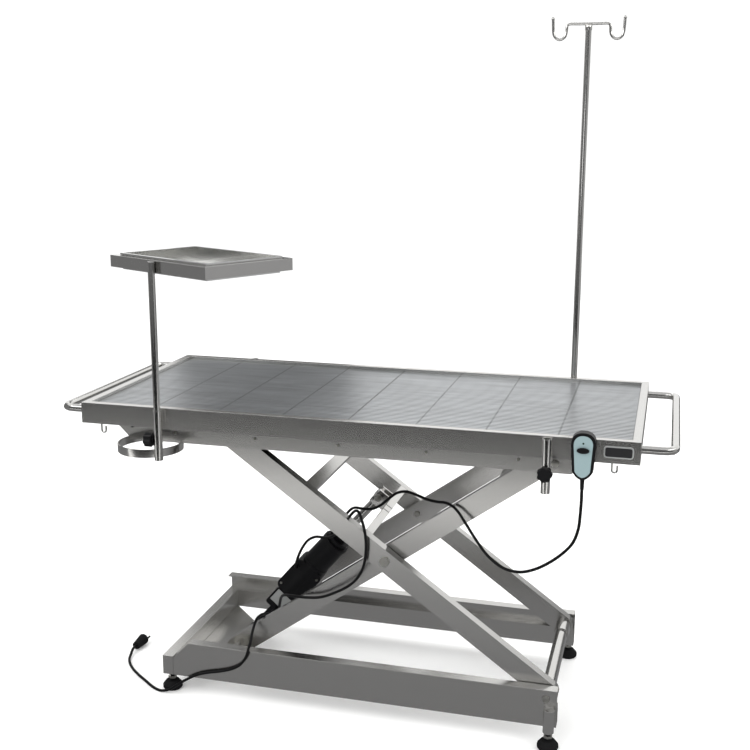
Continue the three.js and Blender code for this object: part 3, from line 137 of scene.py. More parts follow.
@dataclass(frozen=True)
class Finish:
    """One real material and how its surface was made.

    Attributes:
        name: The material's name.
        colour: Its colour as sRGB hex.
        slot: The name of the part's slot; not used.
        roughness: The shader's roughness.
        metallic: 1 for bare metal, 0 for plastic and rubber.
        pattern: How the surface was made.
        grain_mm: The size of the surface's grain.
        relief_mm: How deep the grain is.
        tone: How much darker the grain's dark parts are.
        along: How a brushed grain is stretched along X, Y and Z.
        cross_mm: The way between worn lines across the table, or 0 for none.
        cross_half_mm: Half the width of such a line.
        cross_shade: The share of the colour that is left in it.
        gloss: How much the surface mirrors where it isn't metal.
    """

    name: str
    colour: str
    slot: str
    roughness: float
    metallic: float
    pattern: Pattern
    grain_mm: float
    relief_mm: float
    tone: float = 0.12
    along: tuple[float, float, float] = (0.03, 1.0, 1.0)
    cross_mm: float = 0.0
    cross_half_mm: float = 2.2
    cross_shade: float = 0.2
    gloss: float = 0.5

    def material(self) -> bpy.types.Material:
        """Returns the material, made once."""
        known = bpy.data.materials.get(self.name)
        return known if known else self._build()

    def _build(self) -> bpy.types.Material:
        """Builds the procedural material on Object coordinates.

        Returns:
            The new material.
        """
        made = bpy.data.materials.new(self.name)
        made.use_nodes = True
        tree = made.node_tree
        tree.nodes.clear()
        place = add_node(tree, "ShaderNodeTexCoord", {})
        stretch = self.along if self.pattern is Pattern.BRUSHED else (1.0, 1.0, 1.0)
        mapped = add_node(
            tree,
            "ShaderNodeMapping",
            {"Vector": place.outputs["Object"], "Scale": stretch},
        )
        grain = add_node(
            tree,
            "ShaderNodeTexNoise",
            {
                "Vector": mapped.outputs["Vector"],
                "Scale": 1 / (self.grain_mm * MM),
                "Detail": 3.0,
                "Roughness": 0.6,
            },
        )
        tint = add_node(tree, "ShaderNodeMix", {0: grain.outputs["Fac"]}, data_type="RGBA")
        tint.inputs[6].default_value = self._shade(1 - self.tone)
        tint.inputs[7].default_value = linear(self.colour)
        colour = tint.outputs[2]
        if self.cross_mm:
            colour = self._cross_lines(tree, place.outputs["Object"], grain.outputs["Fac"], colour)
        spread = add_node(
            tree,
            "ShaderNodeMapRange",
            {
                "Value": grain.outputs["Fac"],
                "To Min": self.roughness * 0.9,
                "To Max": self.roughness * 1.1,
            },
        )
        bump = add_node(
            tree,
            "ShaderNodeBump",
            {"Height": grain.outputs["Fac"], "Distance": self.relief_mm * MM, "Strength": 0.5},
        )
        shader = add_node(
            tree,
            "ShaderNodeBsdfPrincipled",
            {
                "Base Color": colour,
                "Roughness": spread.outputs["Result"],
                "Metallic": self.metallic,
                "Specular IOR Level": self.gloss,
                "Normal": bump.outputs["Normal"],
            },
        )
        add_node(tree, "ShaderNodeOutputMaterial", {"Surface": shader.outputs["BSDF"]})
        return made

    def _shade(self, share: float) -> list[float]:
        """Returns the finish's linear colour with a share of its brightness."""
        return [value * share for value in linear(self.colour)[:3]] + [1.0]

    def _cross_lines(
        self,
        tree: bpy.types.NodeTree,
        place: bpy.types.NodeSocket,
        wear: bpy.types.NodeSocket,
        colour: bpy.types.NodeSocket,
    ) -> bpy.types.NodeSocket:
        """Darkens thin worn lines across the table, an equal way apart.

        Args:
            tree: The material's node tree.
            place: The Object coordinates.
            wear: How strongly the lines show from place to place.
            colour: The colour without the lines.

        Returns:
            The colour with the lines.
        """
        split = add_node(tree, "ShaderNodeSeparateXYZ", {"Vector": place})
        step = self.cross_mm * MM / 2
        half = self.cross_half_mm * MM
        kind = "ShaderNodeMath"
        away = add_node(tree, kind, {0: split.outputs["X"], 1: step}, operation="PINGPONG")
        line = add_node(tree, kind, {0: away.outputs[0], 1: half}, operation="LESS_THAN")
        worn = add_node(tree, kind, {0: line.outputs[0], 1: wear}, operation="MULTIPLY")
        lined = add_node(tree, "ShaderNodeMix", {0: worn.outputs[0], 6: colour}, data_type="RGBA")
        lined.inputs[7].default_value = self._shade(self.cross_shade)
        return lined.outputs[2]


# Stainless sheet, brushed lengthwise: long soft streaks in the reflections. The brush lines are
# about 0.2 mm on the real sheet and are drawn 3 mm apart so that they show.
STEEL_SHEET = Finish(
    name="stainless_sheet",
    colour="#D0CFCC",
    slot="steel_brushed",
    roughness=0.25,
    metallic=1.0,
    pattern=Pattern.BRUSHED,
    grain_mm=3.0,
    relief_mm=0.001,
    tone=0.04,
)
# Stainless tube, polished: clear reflections with faint smears.
STEEL_TUBE = Finish(
    name="stainless_tube",
    colour="#D4D3D0",
    slot="steel_polished",
    roughness=0.15,
    metallic=1.0,
    pattern=Pattern.POLISHED,
    grain_mm=60.0,
    relief_mm=0.003,
    tone=0.06,
)
# Stainless panel with rolled grooves and a thin cross line over each stiffener: greyer and duller
# than the frame, with long streaks.
STEEL_PANEL = Finish(
    name="stainless_panel",
    colour="#CDD0D2",
    slot="steel_grooved",
    roughness=0.3,
    metallic=1.0,
    pattern=Pattern.BRUSHED,
    grain_mm=22.0,
    relief_mm=0.6,
    tone=0.5,
    along=(0.16, 1.0, 1.0),
    cross_mm=158.0,
)
# Stainless pan, pressed and mirror polished: the brightest steel of the table.
STEEL_PAN = Finish(
    name="stainless_pan",
    colour="#F2F2F0",
    slot="steel_polished",
    roughness=0.1,
    metallic=1.0,
    pattern=Pattern.POLISHED,
    grain_mm=60.0,
    relief_mm=0.01,
    tone=0.03,
)
# Zinc-plated fasteners: pale, slightly cloudy.
ZINC = Finish(
    name="zinc_fastener",
    colour="#B9B8B2",
    slot="steel_polished",
    roughness=0.32,
    metallic=1.0,
    pattern=Pattern.POLISHED,
    grain_mm=6.0,
    relief_mm=0.02,
)
# ABS, moulded with a fine grain: even black with a soft sheen.
ABS_BLACK = Finish(
    name="abs_black",
    colour="#0E0E10",
    slot="plastic_black",
    roughness=0.42,
    metallic=0.0,
    pattern=Pattern.MOULDED,
    grain_mm=1.4,
    relief_mm=0.04,
    gloss=0.2,
)
# Rubber, moulded: dull and dusty black.
RUBBER = Finish(
    name="rubber_moulded",
    colour="#171718",
    slot="rubber_black",
    roughness=0.75,
    metallic=0.0,
    pattern=Pattern.MOULDED,
    grain_mm=2.0,
    relief_mm=0.06,
    tone=0.2,
    gloss=0.1,
)
# PVC cord jacket: smooth black with a slight gloss.
PVC = Finish(
    name="pvc_jacket",
    colour="#0B0B0C",
    slot="rubber_black",
    roughness=0.45,
    metallic=0.0,
    pattern=Pattern.MOULDED,
    grain_mm=3.0,
    relief_mm=0.02,
    gloss=0.2,
)
# Polycarbonate overlay on the handset: pale blue-grey film.
OVERLAY = Finish(
    name="overlay_film",
    colour="#83979A",
    slot="plastic_pale",
    roughness=0.35,
    metallic=0.0,
    pattern=Pattern.MOULDED,
    grain_mm=2.5,
    relief_mm=0.01,
    tone=0.05,
)
# Anodised plate, dark, left bare.
ANODISED = Finish(
    name="anodised_dark",
    colour="#38383A",
    slot="plate_dark",
    roughness=0.35,
    metallic=0.7,
    pattern=Pattern.BRUSHED,
    grain_mm=2.0,
    relief_mm=0.01,
)
# Nylon roller, turned: off-white and satin.
NYLON = Finish(
    name="nylon_white",
    colour="#D8D6CF",
    slot="nylon_roller",
    roughness=0.5,
    metallic=0.0,
    pattern=Pattern.MOULDED,
    grain_mm=2.5,
    relief_mm=0.02,
    tone=0.06,
)
# Aluminium label blank, satin.
BLANK_LABEL = Finish(
    name="label_blank",
    colour="#B2B4B3",
    slot="plate_dark",
    roughness=0.4,
    metallic=0.6,
    pattern=Pattern.BRUSHED,
    grain_mm=2.0,
    relief_mm=0.01,
)
# Lamp lens, tinted.
LENS = Finish(
    name="lamp_lens",
    colour="#22332A",
    slot="plastic_pale",
    roughness=0.2,
    metallic=0.0,
    pattern=Pattern.MOULDED,
    grain_mm=4.0,
    relief_mm=0.01,
)
# Open hole in sheet metal: painted shade, a near-black disc standing in for the shaded inside that
# shows through.
PAINTED_HOLE_SHADE = Finish(
    name="painted_hole_shade",
    colour="#0C0C0C",
    slot="plastic_black",
    roughness=0.9,
    metallic=0.0,
    pattern=Pattern.MOULDED,
    grain_mm=4.0,
    relief_mm=0.01,
)


@dataclass(frozen=True)
class Layout:
    """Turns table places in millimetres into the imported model's frame."""

    shift_y: float

    def at(self, x: float, y: float, z: float) -> Vector:
        """Returns a table place as a point of the frame, in metres."""
        return Vector((x * MM, y * MM + self.shift_y, z * MM))


def middle(name: str) -> Vector:
    """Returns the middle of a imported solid's box."""
    low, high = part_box(name)
    return (Vector(low) + Vector(high)) / 2


def link_mesh(name: str, mesh: bmesh.types.BMesh, material: bpy.types.Material) -> bpy.types.Object:
    """Puts a bmesh into the scene as an object at the origin.

    Args:
        name: The object's name.
        mesh: Its bmesh, which is freed.
        material: Its only material.

    Returns:
        The new object.
    """
    data = bpy.data.meshes.new(name)
    mesh.to_mesh(data)
    mesh.free()
    data.materials.append(material)
    made = bpy.data.objects.new(name, data)
    bpy.context.scene.collection.objects.link(made)
    return made


def bar(
    mesh: bmesh.types.BMesh,
    start: Vector,
    end: Vector,
    radius: float,
    sides: int = 24,
    tip: float = 0.0,
) -> None:
    """Adds a round or polygonal bar between two points.

    Args:
        mesh: The mesh to add to.
        start: One end of its axis.
        end: The other end.
        radius: Its radius in millimetres.
        sides: How many sides it has.
        tip: The radius at its end, in millimetres, where it differs.
    """
    line = end - start
    turn = Vector((0, 0, 1)).rotation_difference(line).to_matrix().to_4x4()
    bmesh.ops.create_cone(
        mesh,
        cap_ends=True,
        segments=sides,
        radius1=radius * MM,
        radius2=(tip or radius) * MM,
        depth=line.length,
        matrix=Matrix.Translation((start + end) / 2) @ turn,
    )


def block(mesh: bmesh.types.BMesh, low: Vector, high: Vector) -> None:
    """Adds a box between two corners."""
    size = high - low
    bmesh.ops.create_cube(
        mesh,
        size=1.0,
        matrix=Matrix.Translation((low + high) / 2) @ Matrix.Diagonal((*size, 1.0)),
    )


def ball(mesh: bmesh.types.BMesh, centre: Vector, radius: float) -> None:
    """Adds a ball of the given radius in millimetres."""
    bmesh.ops.create_uvsphere(
        mesh, u_segments=16, v_segments=10, radius=radius * MM, matrix=Matrix.Translation(centre)
    )


def hoop(
    mesh: bmesh.types.BMesh,
    centre: Vector,
    axis: Vector,
    arm: Vector,
    thickness: float,
    angle: float = math.tau,
) -> None:
    """Spins a round section about an axis: a ring, or a bend where the angle is less than a turn.

    Args:
        mesh: The mesh to add to.
        centre: The middle of the ring.
        axis: The axis to spin about.
        arm: From the centre to the middle of the section at the start.
        thickness: The section's radius in millimetres.
        angle: How far it is spun, in radians.
    """
    forward = axis.cross(arm).normalized()
    turn = Vector((0, 0, 1)).rotation_difference(forward).to_matrix().to_4x4()
    section = bmesh.ops.create_circle(
        mesh,
        cap_ends=False,
        segments=10,
        radius=thickness * MM,
        matrix=Matrix.Translation(centre + arm) @ turn,
    )["verts"]
    edges = list({edge for vert in section for edge in vert.link_edges})
    bmesh.ops.spin(
        mesh,
        geom=[*section, *edges],
        cent=centre,
        axis=axis,
        angle=angle,
        steps=28,
        use_merge=angle >= math.tau,
        use_duplicate=False,
    )
    bmesh.ops.holes_fill(mesh, edges=[e for e in mesh.edges if e.is_boundary], sides=0)


def round_edges(
    mesh: bmesh.types.BMesh, edges: list[bmesh.types.BMEdge], width: float, segments: int = 2
) -> None:
    """Rounds some edges of a mesh.

    Args:
        mesh: The mesh.
        edges: The edges to round.
        width: How far the rounding reaches from the edge, in millimetres.
        segments: How many facets it has.
    """
    bmesh.ops.bevel(
        mesh,
        geom=edges,
        offset=width * MM,
        offset_type="OFFSET",
        segments=segments,
        profile=0.5,
        affect="EDGES",
        material=-1,
        clamp_overlap=True,
    )


def soften(mesh: bmesh.types.BMesh, width: float) -> None:
    """Rounds every sharp edge of a closed mesh by a width in millimetres."""
    limit = math.radians(SHARP_ANGLE)
    closed = [edge for edge in mesh.edges if len(edge.link_faces) == 2]
    round_edges(mesh, [edge for edge in closed if edge.calc_face_angle() > limit], width)


def finish_piece(name: str, mesh: bmesh.types.BMesh, look: Finish, body: str) -> bpy.types.Object:
    """Makes an object of a finished mesh, dresses it and lets it ride on a body.

    Args:
        name: The piece's name.
        mesh: Its bmesh, which is freed.
        look: Its finish.
        body: The body that carries it.

    Returns:
        The new object.
    """
    bmesh.ops.recalc_face_normals(mesh, faces=mesh.faces[:])
    piece = link_mesh(name, mesh, look.material())
    piece.data.polygons.foreach_set("use_smooth", [True] * len(piece.data.polygons))
    piece.data.set_sharp_from_angle(angle=math.radians(SHARP_ANGLE))
    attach(piece, body)
    LOG.info("piece %s on %s", name, body)
    return piece


def dress_node(name: str, look: Finish, edge_mm: float) -> None:
    """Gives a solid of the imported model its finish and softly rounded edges.

    Args:
        name: The node's name.
        look: Its finish.
        edge_mm: The width of the rounded edges in millimetres.
    """
    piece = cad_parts[name]
    piece.data.materials.clear()
    piece.data.materials.append(look.material())
    piece.data.polygons.foreach_set("use_smooth", [True] * len(piece.data.polygons))
    weld = piece.modifiers.new("weld", "WELD")
    weld.merge_threshold = WELD_MM * MM
    flats = piece.modifiers.new("flats", "DECIMATE")
    flats.decimate_type = "DISSOLVE"
    flats.angle_limit = math.radians(FLAT_ANGLE)
    edges = piece.modifiers.new("edges", "BEVEL")
    edges.width = edge_mm * MM
    edges.segments = 2
    edges.limit_method = "ANGLE"
    edges.angle_limit = math.radians(ROUNDED_ANGLE)
    level = piece.modifiers.new("level", "WEIGHTED_NORMAL")
    level.weight = 100


@dataclass(frozen=True)
class Card:
    """A studio card that only the steel mirrors; sizes in metres."""

    name: str
    centre: tuple[float, float, float]
    across: tuple[float, float, float]
    up: tuple[float, float, float]
    glow: float

    def build(self) -> None:
        """Makes the card, out of sight of the camera and of the soft light."""
        mesh = bmesh.new()
        centre, across, up = Vector(self.centre), Vector(self.across), Vector(self.up)
        corners = [
            centre - across - up,
            centre + across - up,
            centre + across + up,
            centre - across + up,
        ]
        bmesh.ops.contextual_create(mesh, geom=[mesh.verts.new(corner) for corner in corners])
        felt = bpy.data.materials.new(self.name + "_felt")
        felt.use_nodes = True
        shader = felt.node_tree.nodes["Principled BSDF"]
        shader.inputs["Base Color"].default_value = (0.0, 0.0, 0.0, 1.0)
        shader.inputs["Specular IOR Level"].default_value = 0.0
        shader.inputs["Emission Color"].default_value = linear("#FDFDFF")
        shader.inputs["Emission Strength"].default_value = self.glow
        card = link_mesh(self.name, mesh, felt)
        card.visible_camera = False
        card.visible_diffuse = False
        card.visible_shadow = False


@dataclass
class Studio:
    """Camera, light, floor and cards, set as the photograph was taken.

    The camera's place is in table millimetres and its angles in degrees; the rest is in metres.
    """

    layout: Layout
    camera_place: tuple[float, float, float] = (688.7, -2565.0, 1389.0)
    yaw: float = 15.15
    pitch: float = 12.36
    roll: float = 0.15
    focal_px: float = 1096.2
    image_px: float = 750.0
    sensor_mm: float = 36.0
    floor_size: float = 14.0
    floor_glow: float = 0.12
    surround: float = 1.1
    light_aim: tuple[float, float, float] = (0.0, 0.0, 0.5)
    # What the steel mirrors: the apron and the poles the front, the rails and the arms the floor,
    # the panels the rear and the ceiling, the tray the window and the sides.
    cards: tuple[Card, ...] = (
        Card("card_front", (0.0, -1.8, 1.13), (4.0, 0.0, 0.0), (0.0, 0.0, 1.07), 0.15),
        Card("card_apron", (0.0, -1.79, 0.37), (4.0, 0.0, 0.0), (0.0, 0.0, 0.25), 0.02),
        Card("card_window", (0.12, -1.79, 1.32), (0.32, 0.0, 0.0), (0.0, 0.0, 0.22), 1.6),
        Card("card_floor_near", (0.0, 1.7, 0.002), (4.0, 0.0, 0.0), (0.0, 2.3, 0.0), 0.25),
        Card("card_floor_far", (0.0, -1.05, 0.002), (4.0, 0.0, 0.0), (0.0, 0.45, 0.0), 0.3),
        Card("card_rear", (0.0, 2.2, 0.38), (4.0, 0.0, 0.0), (0.0, 0.0, 0.37), 0.16),
        Card("card_rear_high", (-1.18, 2.3, 1.62), (0.45, 0.0, 0.0), (0.0, 0.0, 0.68), 0.12),
        Card("card_ceiling", (0.0, 0.0, 3.4), (2.6, 0.0, 0.0), (0.0, 2.4, 0.0), 0.7),
        Card("card_left", (-2.6, 0.0, 1.1), (0.0, 1.5, 0.0), (0.0, 0.0, 1.09), 0.22),
        Card("card_right", (2.6, 0.0, 1.1), (0.0, 1.5, 0.0), (0.0, 0.0, 1.09), 0.42),
    )

    def build(self) -> None:
        """Makes the camera, the lights, the floor and the cards."""
        self._camera()
        self._lights()
        self._floor()
        for card in self.cards:
            card.build()

    def _camera(self) -> None:
        """Makes the camera at the photograph's place and angle."""
        data = bpy.data.cameras.new("camera")
        data.sensor_width = self.sensor_mm
        data.lens = self.focal_px / self.image_px * data.sensor_width
        data.clip_end = 60.0
        camera = bpy.data.objects.new("camera", data)
        bpy.context.scene.collection.objects.link(camera)
        yaw, pitch = math.radians(self.yaw), math.radians(self.pitch)
        level = math.cos(pitch)
        look = Vector((-math.sin(yaw) * level, math.cos(yaw) * level, -math.sin(pitch)))
        turn = look.to_track_quat("-Z", "Y").to_matrix().to_4x4()
        tilt = Matrix.Rotation(math.radians(self.roll), 4, "Z")
        camera.matrix_world = Matrix.Translation(self.layout.at(*self.camera_place)) @ turn @ tilt
        bpy.context.scene.camera = camera

    def _lights(self) -> None:
        """Makes three soft boxes and a pale surround."""
        boxes = [
            ("key_light", (-1.8, -2.6, 3.2), 3.0, 70.0),
            ("fill_light", (3.4, -1.4, 2.2), 2.4, 30.0),
            ("top_light", (0.3, 1.6, 3.8), 3.0, 60.0),
        ]
        for name, place, size, power in boxes:
            data = bpy.data.lights.new(name, "AREA")
            data.size = size
            data.energy = power
            light = bpy.data.objects.new(name, data)
            bpy.context.scene.collection.objects.link(light)
            aim = (Vector(self.light_aim) - Vector(place)).to_track_quat("-Z", "Y")
            light.matrix_world = Matrix.Translation(place) @ aim.to_matrix().to_4x4()
        world = bpy.data.worlds.new("surround")
        world.use_nodes = True
        backdrop = world.node_tree.nodes["Background"]
        backdrop.inputs["Color"].default_value = linear("#FFFFFF")
        backdrop.inputs["Strength"].default_value = self.surround
        bpy.context.scene.world = world
        bpy.context.scene.view_settings.view_transform = "Standard"

    def _floor(self) -> None:
        """Makes the plain pale floor."""
        mesh = bmesh.new()
        bmesh.ops.create_grid(mesh, x_segments=1, y_segments=1, size=self.floor_size / 2)
        paint = bpy.data.materials.new("floor_paint")
        paint.use_nodes = True
        shader = paint.node_tree.nodes["Principled BSDF"]
        shader.inputs["Base Color"].default_value = linear("#FAFAF9")
        shader.inputs["Roughness"].default_value = 0.9
        shader.inputs["Emission Color"].default_value = linear("#FFFFFF")
        shader.inputs["Emission Strength"].default_value = self.floor_glow
        link_mesh("floor", mesh, paint)


@dataclass
class Steelwork:
    """The solids of the table that only need a finish."""

    sheet: tuple[str, ...] = (
        "base_rail_front",
        "base_rail_rear",
        "base_end_rail",
        "base_pan_plate",
        "actuator_foot_bracket",
        "outer_arm_front",
        "outer_arm_rear",
        "inner_arm_front",
        "inner_arm_rear",
        "outer_arm_tie",
        "inner_arm_tie",
        "subframe_rail_front",
        "subframe_rail_rear",
        "subframe_cross_left",
        "subframe_cross_right",
        "panel_bearers",
        "table_frame",
    )
    tube: tuple[str, ...] = (
        "lower_pivot_tube",
        "upper_pivot_tube",
        "push_tube",
        "handle_left",
        "handle_right",
        "socket_front_left",
        "socket_front_right",
        "socket_rear_left",
        "socket_rear_right",
        "ring_holder",
        "iv_pole",
        "iv_hooks",
        "tray_post",
        "tray_frame",
        "actuator_rod",
    )
    panels: tuple[str, ...] = ("panel_left", "panel_right")
    pins: tuple[str, ...] = ("centre_pin_front", "centre_pin_rear")
    plastic: tuple[str, ...] = (
        "knob_front_left",
        "knob_front_right",
        "knob_rear_left",
        "knob_rear_right",
        "actuator_gearbox",
        "actuator_motor",
        "actuator_outer_tube",
        "handset_shell",
        "handset_rocker",
    )
    feet: tuple[str, ...] = (
        "foot_front_left",
        "foot_front_right",
        "foot_rear_left",
        "foot_rear_right",
    )
    rollers: tuple[str, ...] = (
        "upper_roller_front",
        "upper_roller_rear",
        "lower_roller_front",
        "lower_roller_rear",
    )

    def dress(self) -> None:
        """Gives every solid its finish, and its rounded edges in millimetres."""
        groups = [
            (self.sheet, STEEL_SHEET, 0.8),
            (self.tube, STEEL_TUBE, 0.5),
            (self.panels, STEEL_PANEL, 0.4),
            (("tray_pan",), STEEL_PAN, 0.5),
            (self.pins, ZINC, 0.6),
            (self.plastic, ABS_BLACK, 1.5),
            (self.feet, RUBBER, 1.0),
            (self.rollers, NYLON, 1.0),
            (("handset_face",), OVERLAY, 0.4),
            (("nameplate",), BLANK_LABEL, 0.4),
        ]
        for names, look, edge in groups:
            for name in names:
                dress_node(name, look, edge)


@dataclass
class LiftFittings:
    """Pivot caps, studs, painted shade over the web holes and lock nuts on base, sub-frame and feet,
    in millimetres.
    """

    layout: Layout
    web_y: float = 230.0
    pivot_x: float = 467.0
    pivot_low: float = 117.0
    pivot_top: float = 684.0
    cap_radius: float = 8.8
    cap_height: float = 2.6
    cap_edge: float = 0.9
    stud_x: tuple[float, ...] = (-442.0, -237.0, -31.5, 177.0, 386.0)
    stud_z: float = 687.0
    stud_radius: float = 4.0
    stud_height: float = 2.5
    stud_taper: float = 0.7
    # The web's open hole is drawn as a thin near-black disc of painted shade.
    hole_x: float = -555.0
    hole_z: float = 697.0
    hole_radius: float = 5.0
    hole_shade_thickness: float = 0.2
    nut_radius: float = 11.0
    nut_height: float = 7.0
    nut_seat: float = 27.0
    nut_edge: float = 0.8

    def build(self) -> None:
        """Builds every fastener."""
        for side in Side:
            self._pivot_cap(side, self.pivot_low, "base")
            self._pivot_cap(side, self.pivot_top, "platform")
            self._studs(side)
        self._foot_nuts()

    def _pivot_cap(self, side: Side, height: float, body: str) -> None:
        """Builds the low cap over the end of a fixed pivot.

        Args:
            side: The side of the table.
            height: The pivot's height in millimetres.
            body: The body that carries it.
        """
        mesh = bmesh.new()
        out = side.value
        face = self.web_y + SEAT_GAP
        start = self.layout.at(self.pivot_x, out * face, height)
        end = self.layout.at(self.pivot_x, out * (face + self.cap_height), height)
        bar(mesh, start, end, self.cap_radius)
        soften(mesh, self.cap_edge)
        finish_piece(f"pivot_cap_{body}_{side.name.lower()}", mesh, ZINC, body)

    def _studs(self, side: Side) -> None:
        """Builds the row of small studs on a sub-frame web, and a thin near-black disc of painted
        shade over its open hole.
        """
        out = side.value
        face = self.web_y + SEAT_GAP
        for number, x in enumerate(self.stud_x):
            mesh = bmesh.new()
            start = self.layout.at(x, out * face, self.stud_z)
            end = self.layout.at(x, out * (face + self.stud_height), self.stud_z)
            bar(mesh, start, end, self.stud_radius, 16, self.stud_radius * self.stud_taper)
            finish_piece(f"web_stud_{side.name.lower()}_{number}", mesh, ZINC, "platform")
        # The open hole: a thin near-black disc of painted shade on the web.
        mesh = bmesh.new()
        start = self.layout.at(self.hole_x, out * face, self.hole_z)
        end = self.layout.at(self.hole_x, out * (face + self.hole_shade_thickness), self.hole_z)
        bar(mesh, start, end, self.hole_radius)
        finish_piece(f"web_hole_shade_{side.name.lower()}", mesh, PAINTED_HOLE_SHADE, "platform")

    def _foot_nuts(self) -> None:
        """Builds the lock nut on each levelling stud."""
        for name in Steelwork.feet:
            mesh = bmesh.new()
            start = middle(name)
            start.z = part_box(name)[0][2] + self.nut_seat * MM
            bar(mesh, start, start + Vector((0, 0, self.nut_height * MM)), self.nut_radius, 6)
            soften(mesh, self.nut_edge)
            finish_piece(f"lock_nut_{name}", mesh, ZINC, f"{name}_body")


@dataclass
class TopFittings:
    """Tie hooks, nameplate field and pole details on the table top, in millimetres."""

    layout: Layout
    apron_y: float = 300.0
    tie_x: tuple[float, float] = (-600.0, 592.0)
    tie_top: float = 722.0
    tie_inset: float = 4.0
    tie_drop: float = 22.0
    tie_radius: float = 5.5
    tie_tip: float = 10.0
    wire: float = 2.0
    plate_edge: float = 3.0
    plate_corner: float = 4.0
    field_proud: float = 0.3
    field_depth: float = 0.2
    collar_radius: float = 9.2
    collar_height: float = 13.0
    collar_proud: float = 1.0
    collar_edge: float = 0.8
    hook_wire: float = 4.0
    hook_tip_radius: float = 4.6
    hook_tip_drop: float = 1.0

    def build(self) -> None:
        """Builds the fittings of the top."""
        for side in Side:
            for end, x in zip(End, self.tie_x):
                self._tie_hook(side, end, x)
        self._plate_field()
        self._pole_cap()
        self._hook_tips()

    def _tie_hook(self, side: Side, end: End, x: float) -> None:
        """Builds a bent wire hook below the apron.

        Args:
            side: The side of the table.
            end: The end of the table.
            x: Its place along the table in millimetres.
        """
        y = side.value * (self.apron_y - self.tie_inset)
        mesh = bmesh.new()
        top = self.layout.at(x, y, self.tie_top)
        low = self.layout.at(x, y, self.tie_top - self.tie_drop)
        bar(mesh, low, top, self.wire, 10)
        reach = Vector((self.tie_radius * MM, 0, 0))
        centre = low + reach
        hoop(mesh, centre, Vector((0, -1, 0)), -reach, self.wire, math.pi)
        tip = low + 2 * reach
        bar(mesh, tip, tip + Vector((0, 0, self.tie_tip * MM)), self.wire, 10)
        name = f"tie_hook_{side.name.lower()}_{end.name.lower()}"
        finish_piece(name, mesh, STEEL_TUBE, "platform")

    def _plate_field(self) -> None:
        """Builds the dark bare field of the nameplate."""
        low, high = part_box("nameplate")
        mesh = bmesh.new()
        edge = Vector((self.plate_edge * MM, 0, self.plate_edge * MM))
        front = Vector((0, low[1] - high[1] - self.field_proud * MM, 0))
        back = Vector((0, low[1] - high[1] + self.field_depth * MM, 0))
        block(mesh, Vector((low[0], high[1], low[2])) + edge + front, Vector(high) - edge + back)
        depth = self.field_depth * MM
        through = [e for e in mesh.edges if abs((e.verts[0].co - e.verts[1].co).y) > depth]
        round_edges(mesh, through, self.plate_corner, 4)
        finish_piece("nameplate_field", mesh, ANODISED, "platform")

    def _pole_cap(self) -> None:
        """Builds the collar that holds the hook bar on the pole."""
        mesh = bmesh.new()
        top = middle("iv_pole")
        top.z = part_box("iv_pole")[1][2] + self.collar_proud * MM
        bar(mesh, top - Vector((0, 0, self.collar_height * MM)), top, self.collar_radius)
        soften(mesh, self.collar_edge)
        finish_piece("pole_collar", mesh, STEEL_TUBE, "iv_pole_body")

    def _hook_tips(self) -> None:
        """Builds the rounded tips of the hook bar."""
        low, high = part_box("iv_hooks")
        y = middle("iv_hooks").y
        for end in End:
            mesh = bmesh.new()
            x = (low if end is End.LEFT else high)[0] - end.value * self.hook_wire * MM
            ball(mesh, Vector((x, y, high[2] - self.hook_tip_drop * MM)), self.hook_tip_radius)
            finish_piece(f"hook_tip_{end.name.lower()}", mesh, STEEL_TUBE, "iv_hooks_body")


@dataclass
class HandsetFittings:
    """Lamp and hook of the handset, in millimetres."""

    lamp_drop: float = 16.0
    lamp_radius: float = 2.2
    lamp_tip: float = 1.4
    lamp_height: float = 1.0
    rim_top: float = 766.2
    hook_half: float = 11.0
    hook_sheet: float = 2.5
    hook_root: float = 2.0
    hook_bridge: float = 15.0
    lip_reach: float = 18.6
    lip_sheet: float = 2.0
    lip_drop: float = 6.0

    def build(self) -> None:
        """Builds the handset's small pieces."""
        self._lamp()
        self._hook()

    def _lamp(self) -> None:
        """Builds the lamp above the rocker."""
        low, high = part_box("handset_face")
        base = Vector((middle("handset_face").x, low[1], high[2] - self.lamp_drop * MM))
        mesh = bmesh.new()
        top = base - Vector((0, self.lamp_height * MM, 0))
        bar(mesh, base, top, self.lamp_radius, 16, self.lamp_tip)
        finish_piece("handset_lamp", mesh, LENS, "handset")

    def _hook(self) -> None:
        """Builds the hook over the table's rim: a bridge and a lip behind the rim."""
        x = middle("handset_face").x
        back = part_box("handset_shell")[1][1]
        left, right = x - self.hook_half * MM, x + self.hook_half * MM
        under, top = self.rim_top * MM, (self.rim_top + self.hook_sheet) * MM
        lip = back + self.lip_reach * MM
        mesh = bmesh.new()
        block(
            mesh,
            Vector((left, back - self.hook_root * MM, under)),
            Vector((right, back + self.hook_bridge * MM, top)),
        )
        block(
            mesh,
            Vector((left, lip - self.lip_sheet * MM, under - self.lip_drop * MM)),
            Vector((right, lip, top)),
        )
        finish_piece("handset_hook", mesh, ABS_BLACK, "handset")


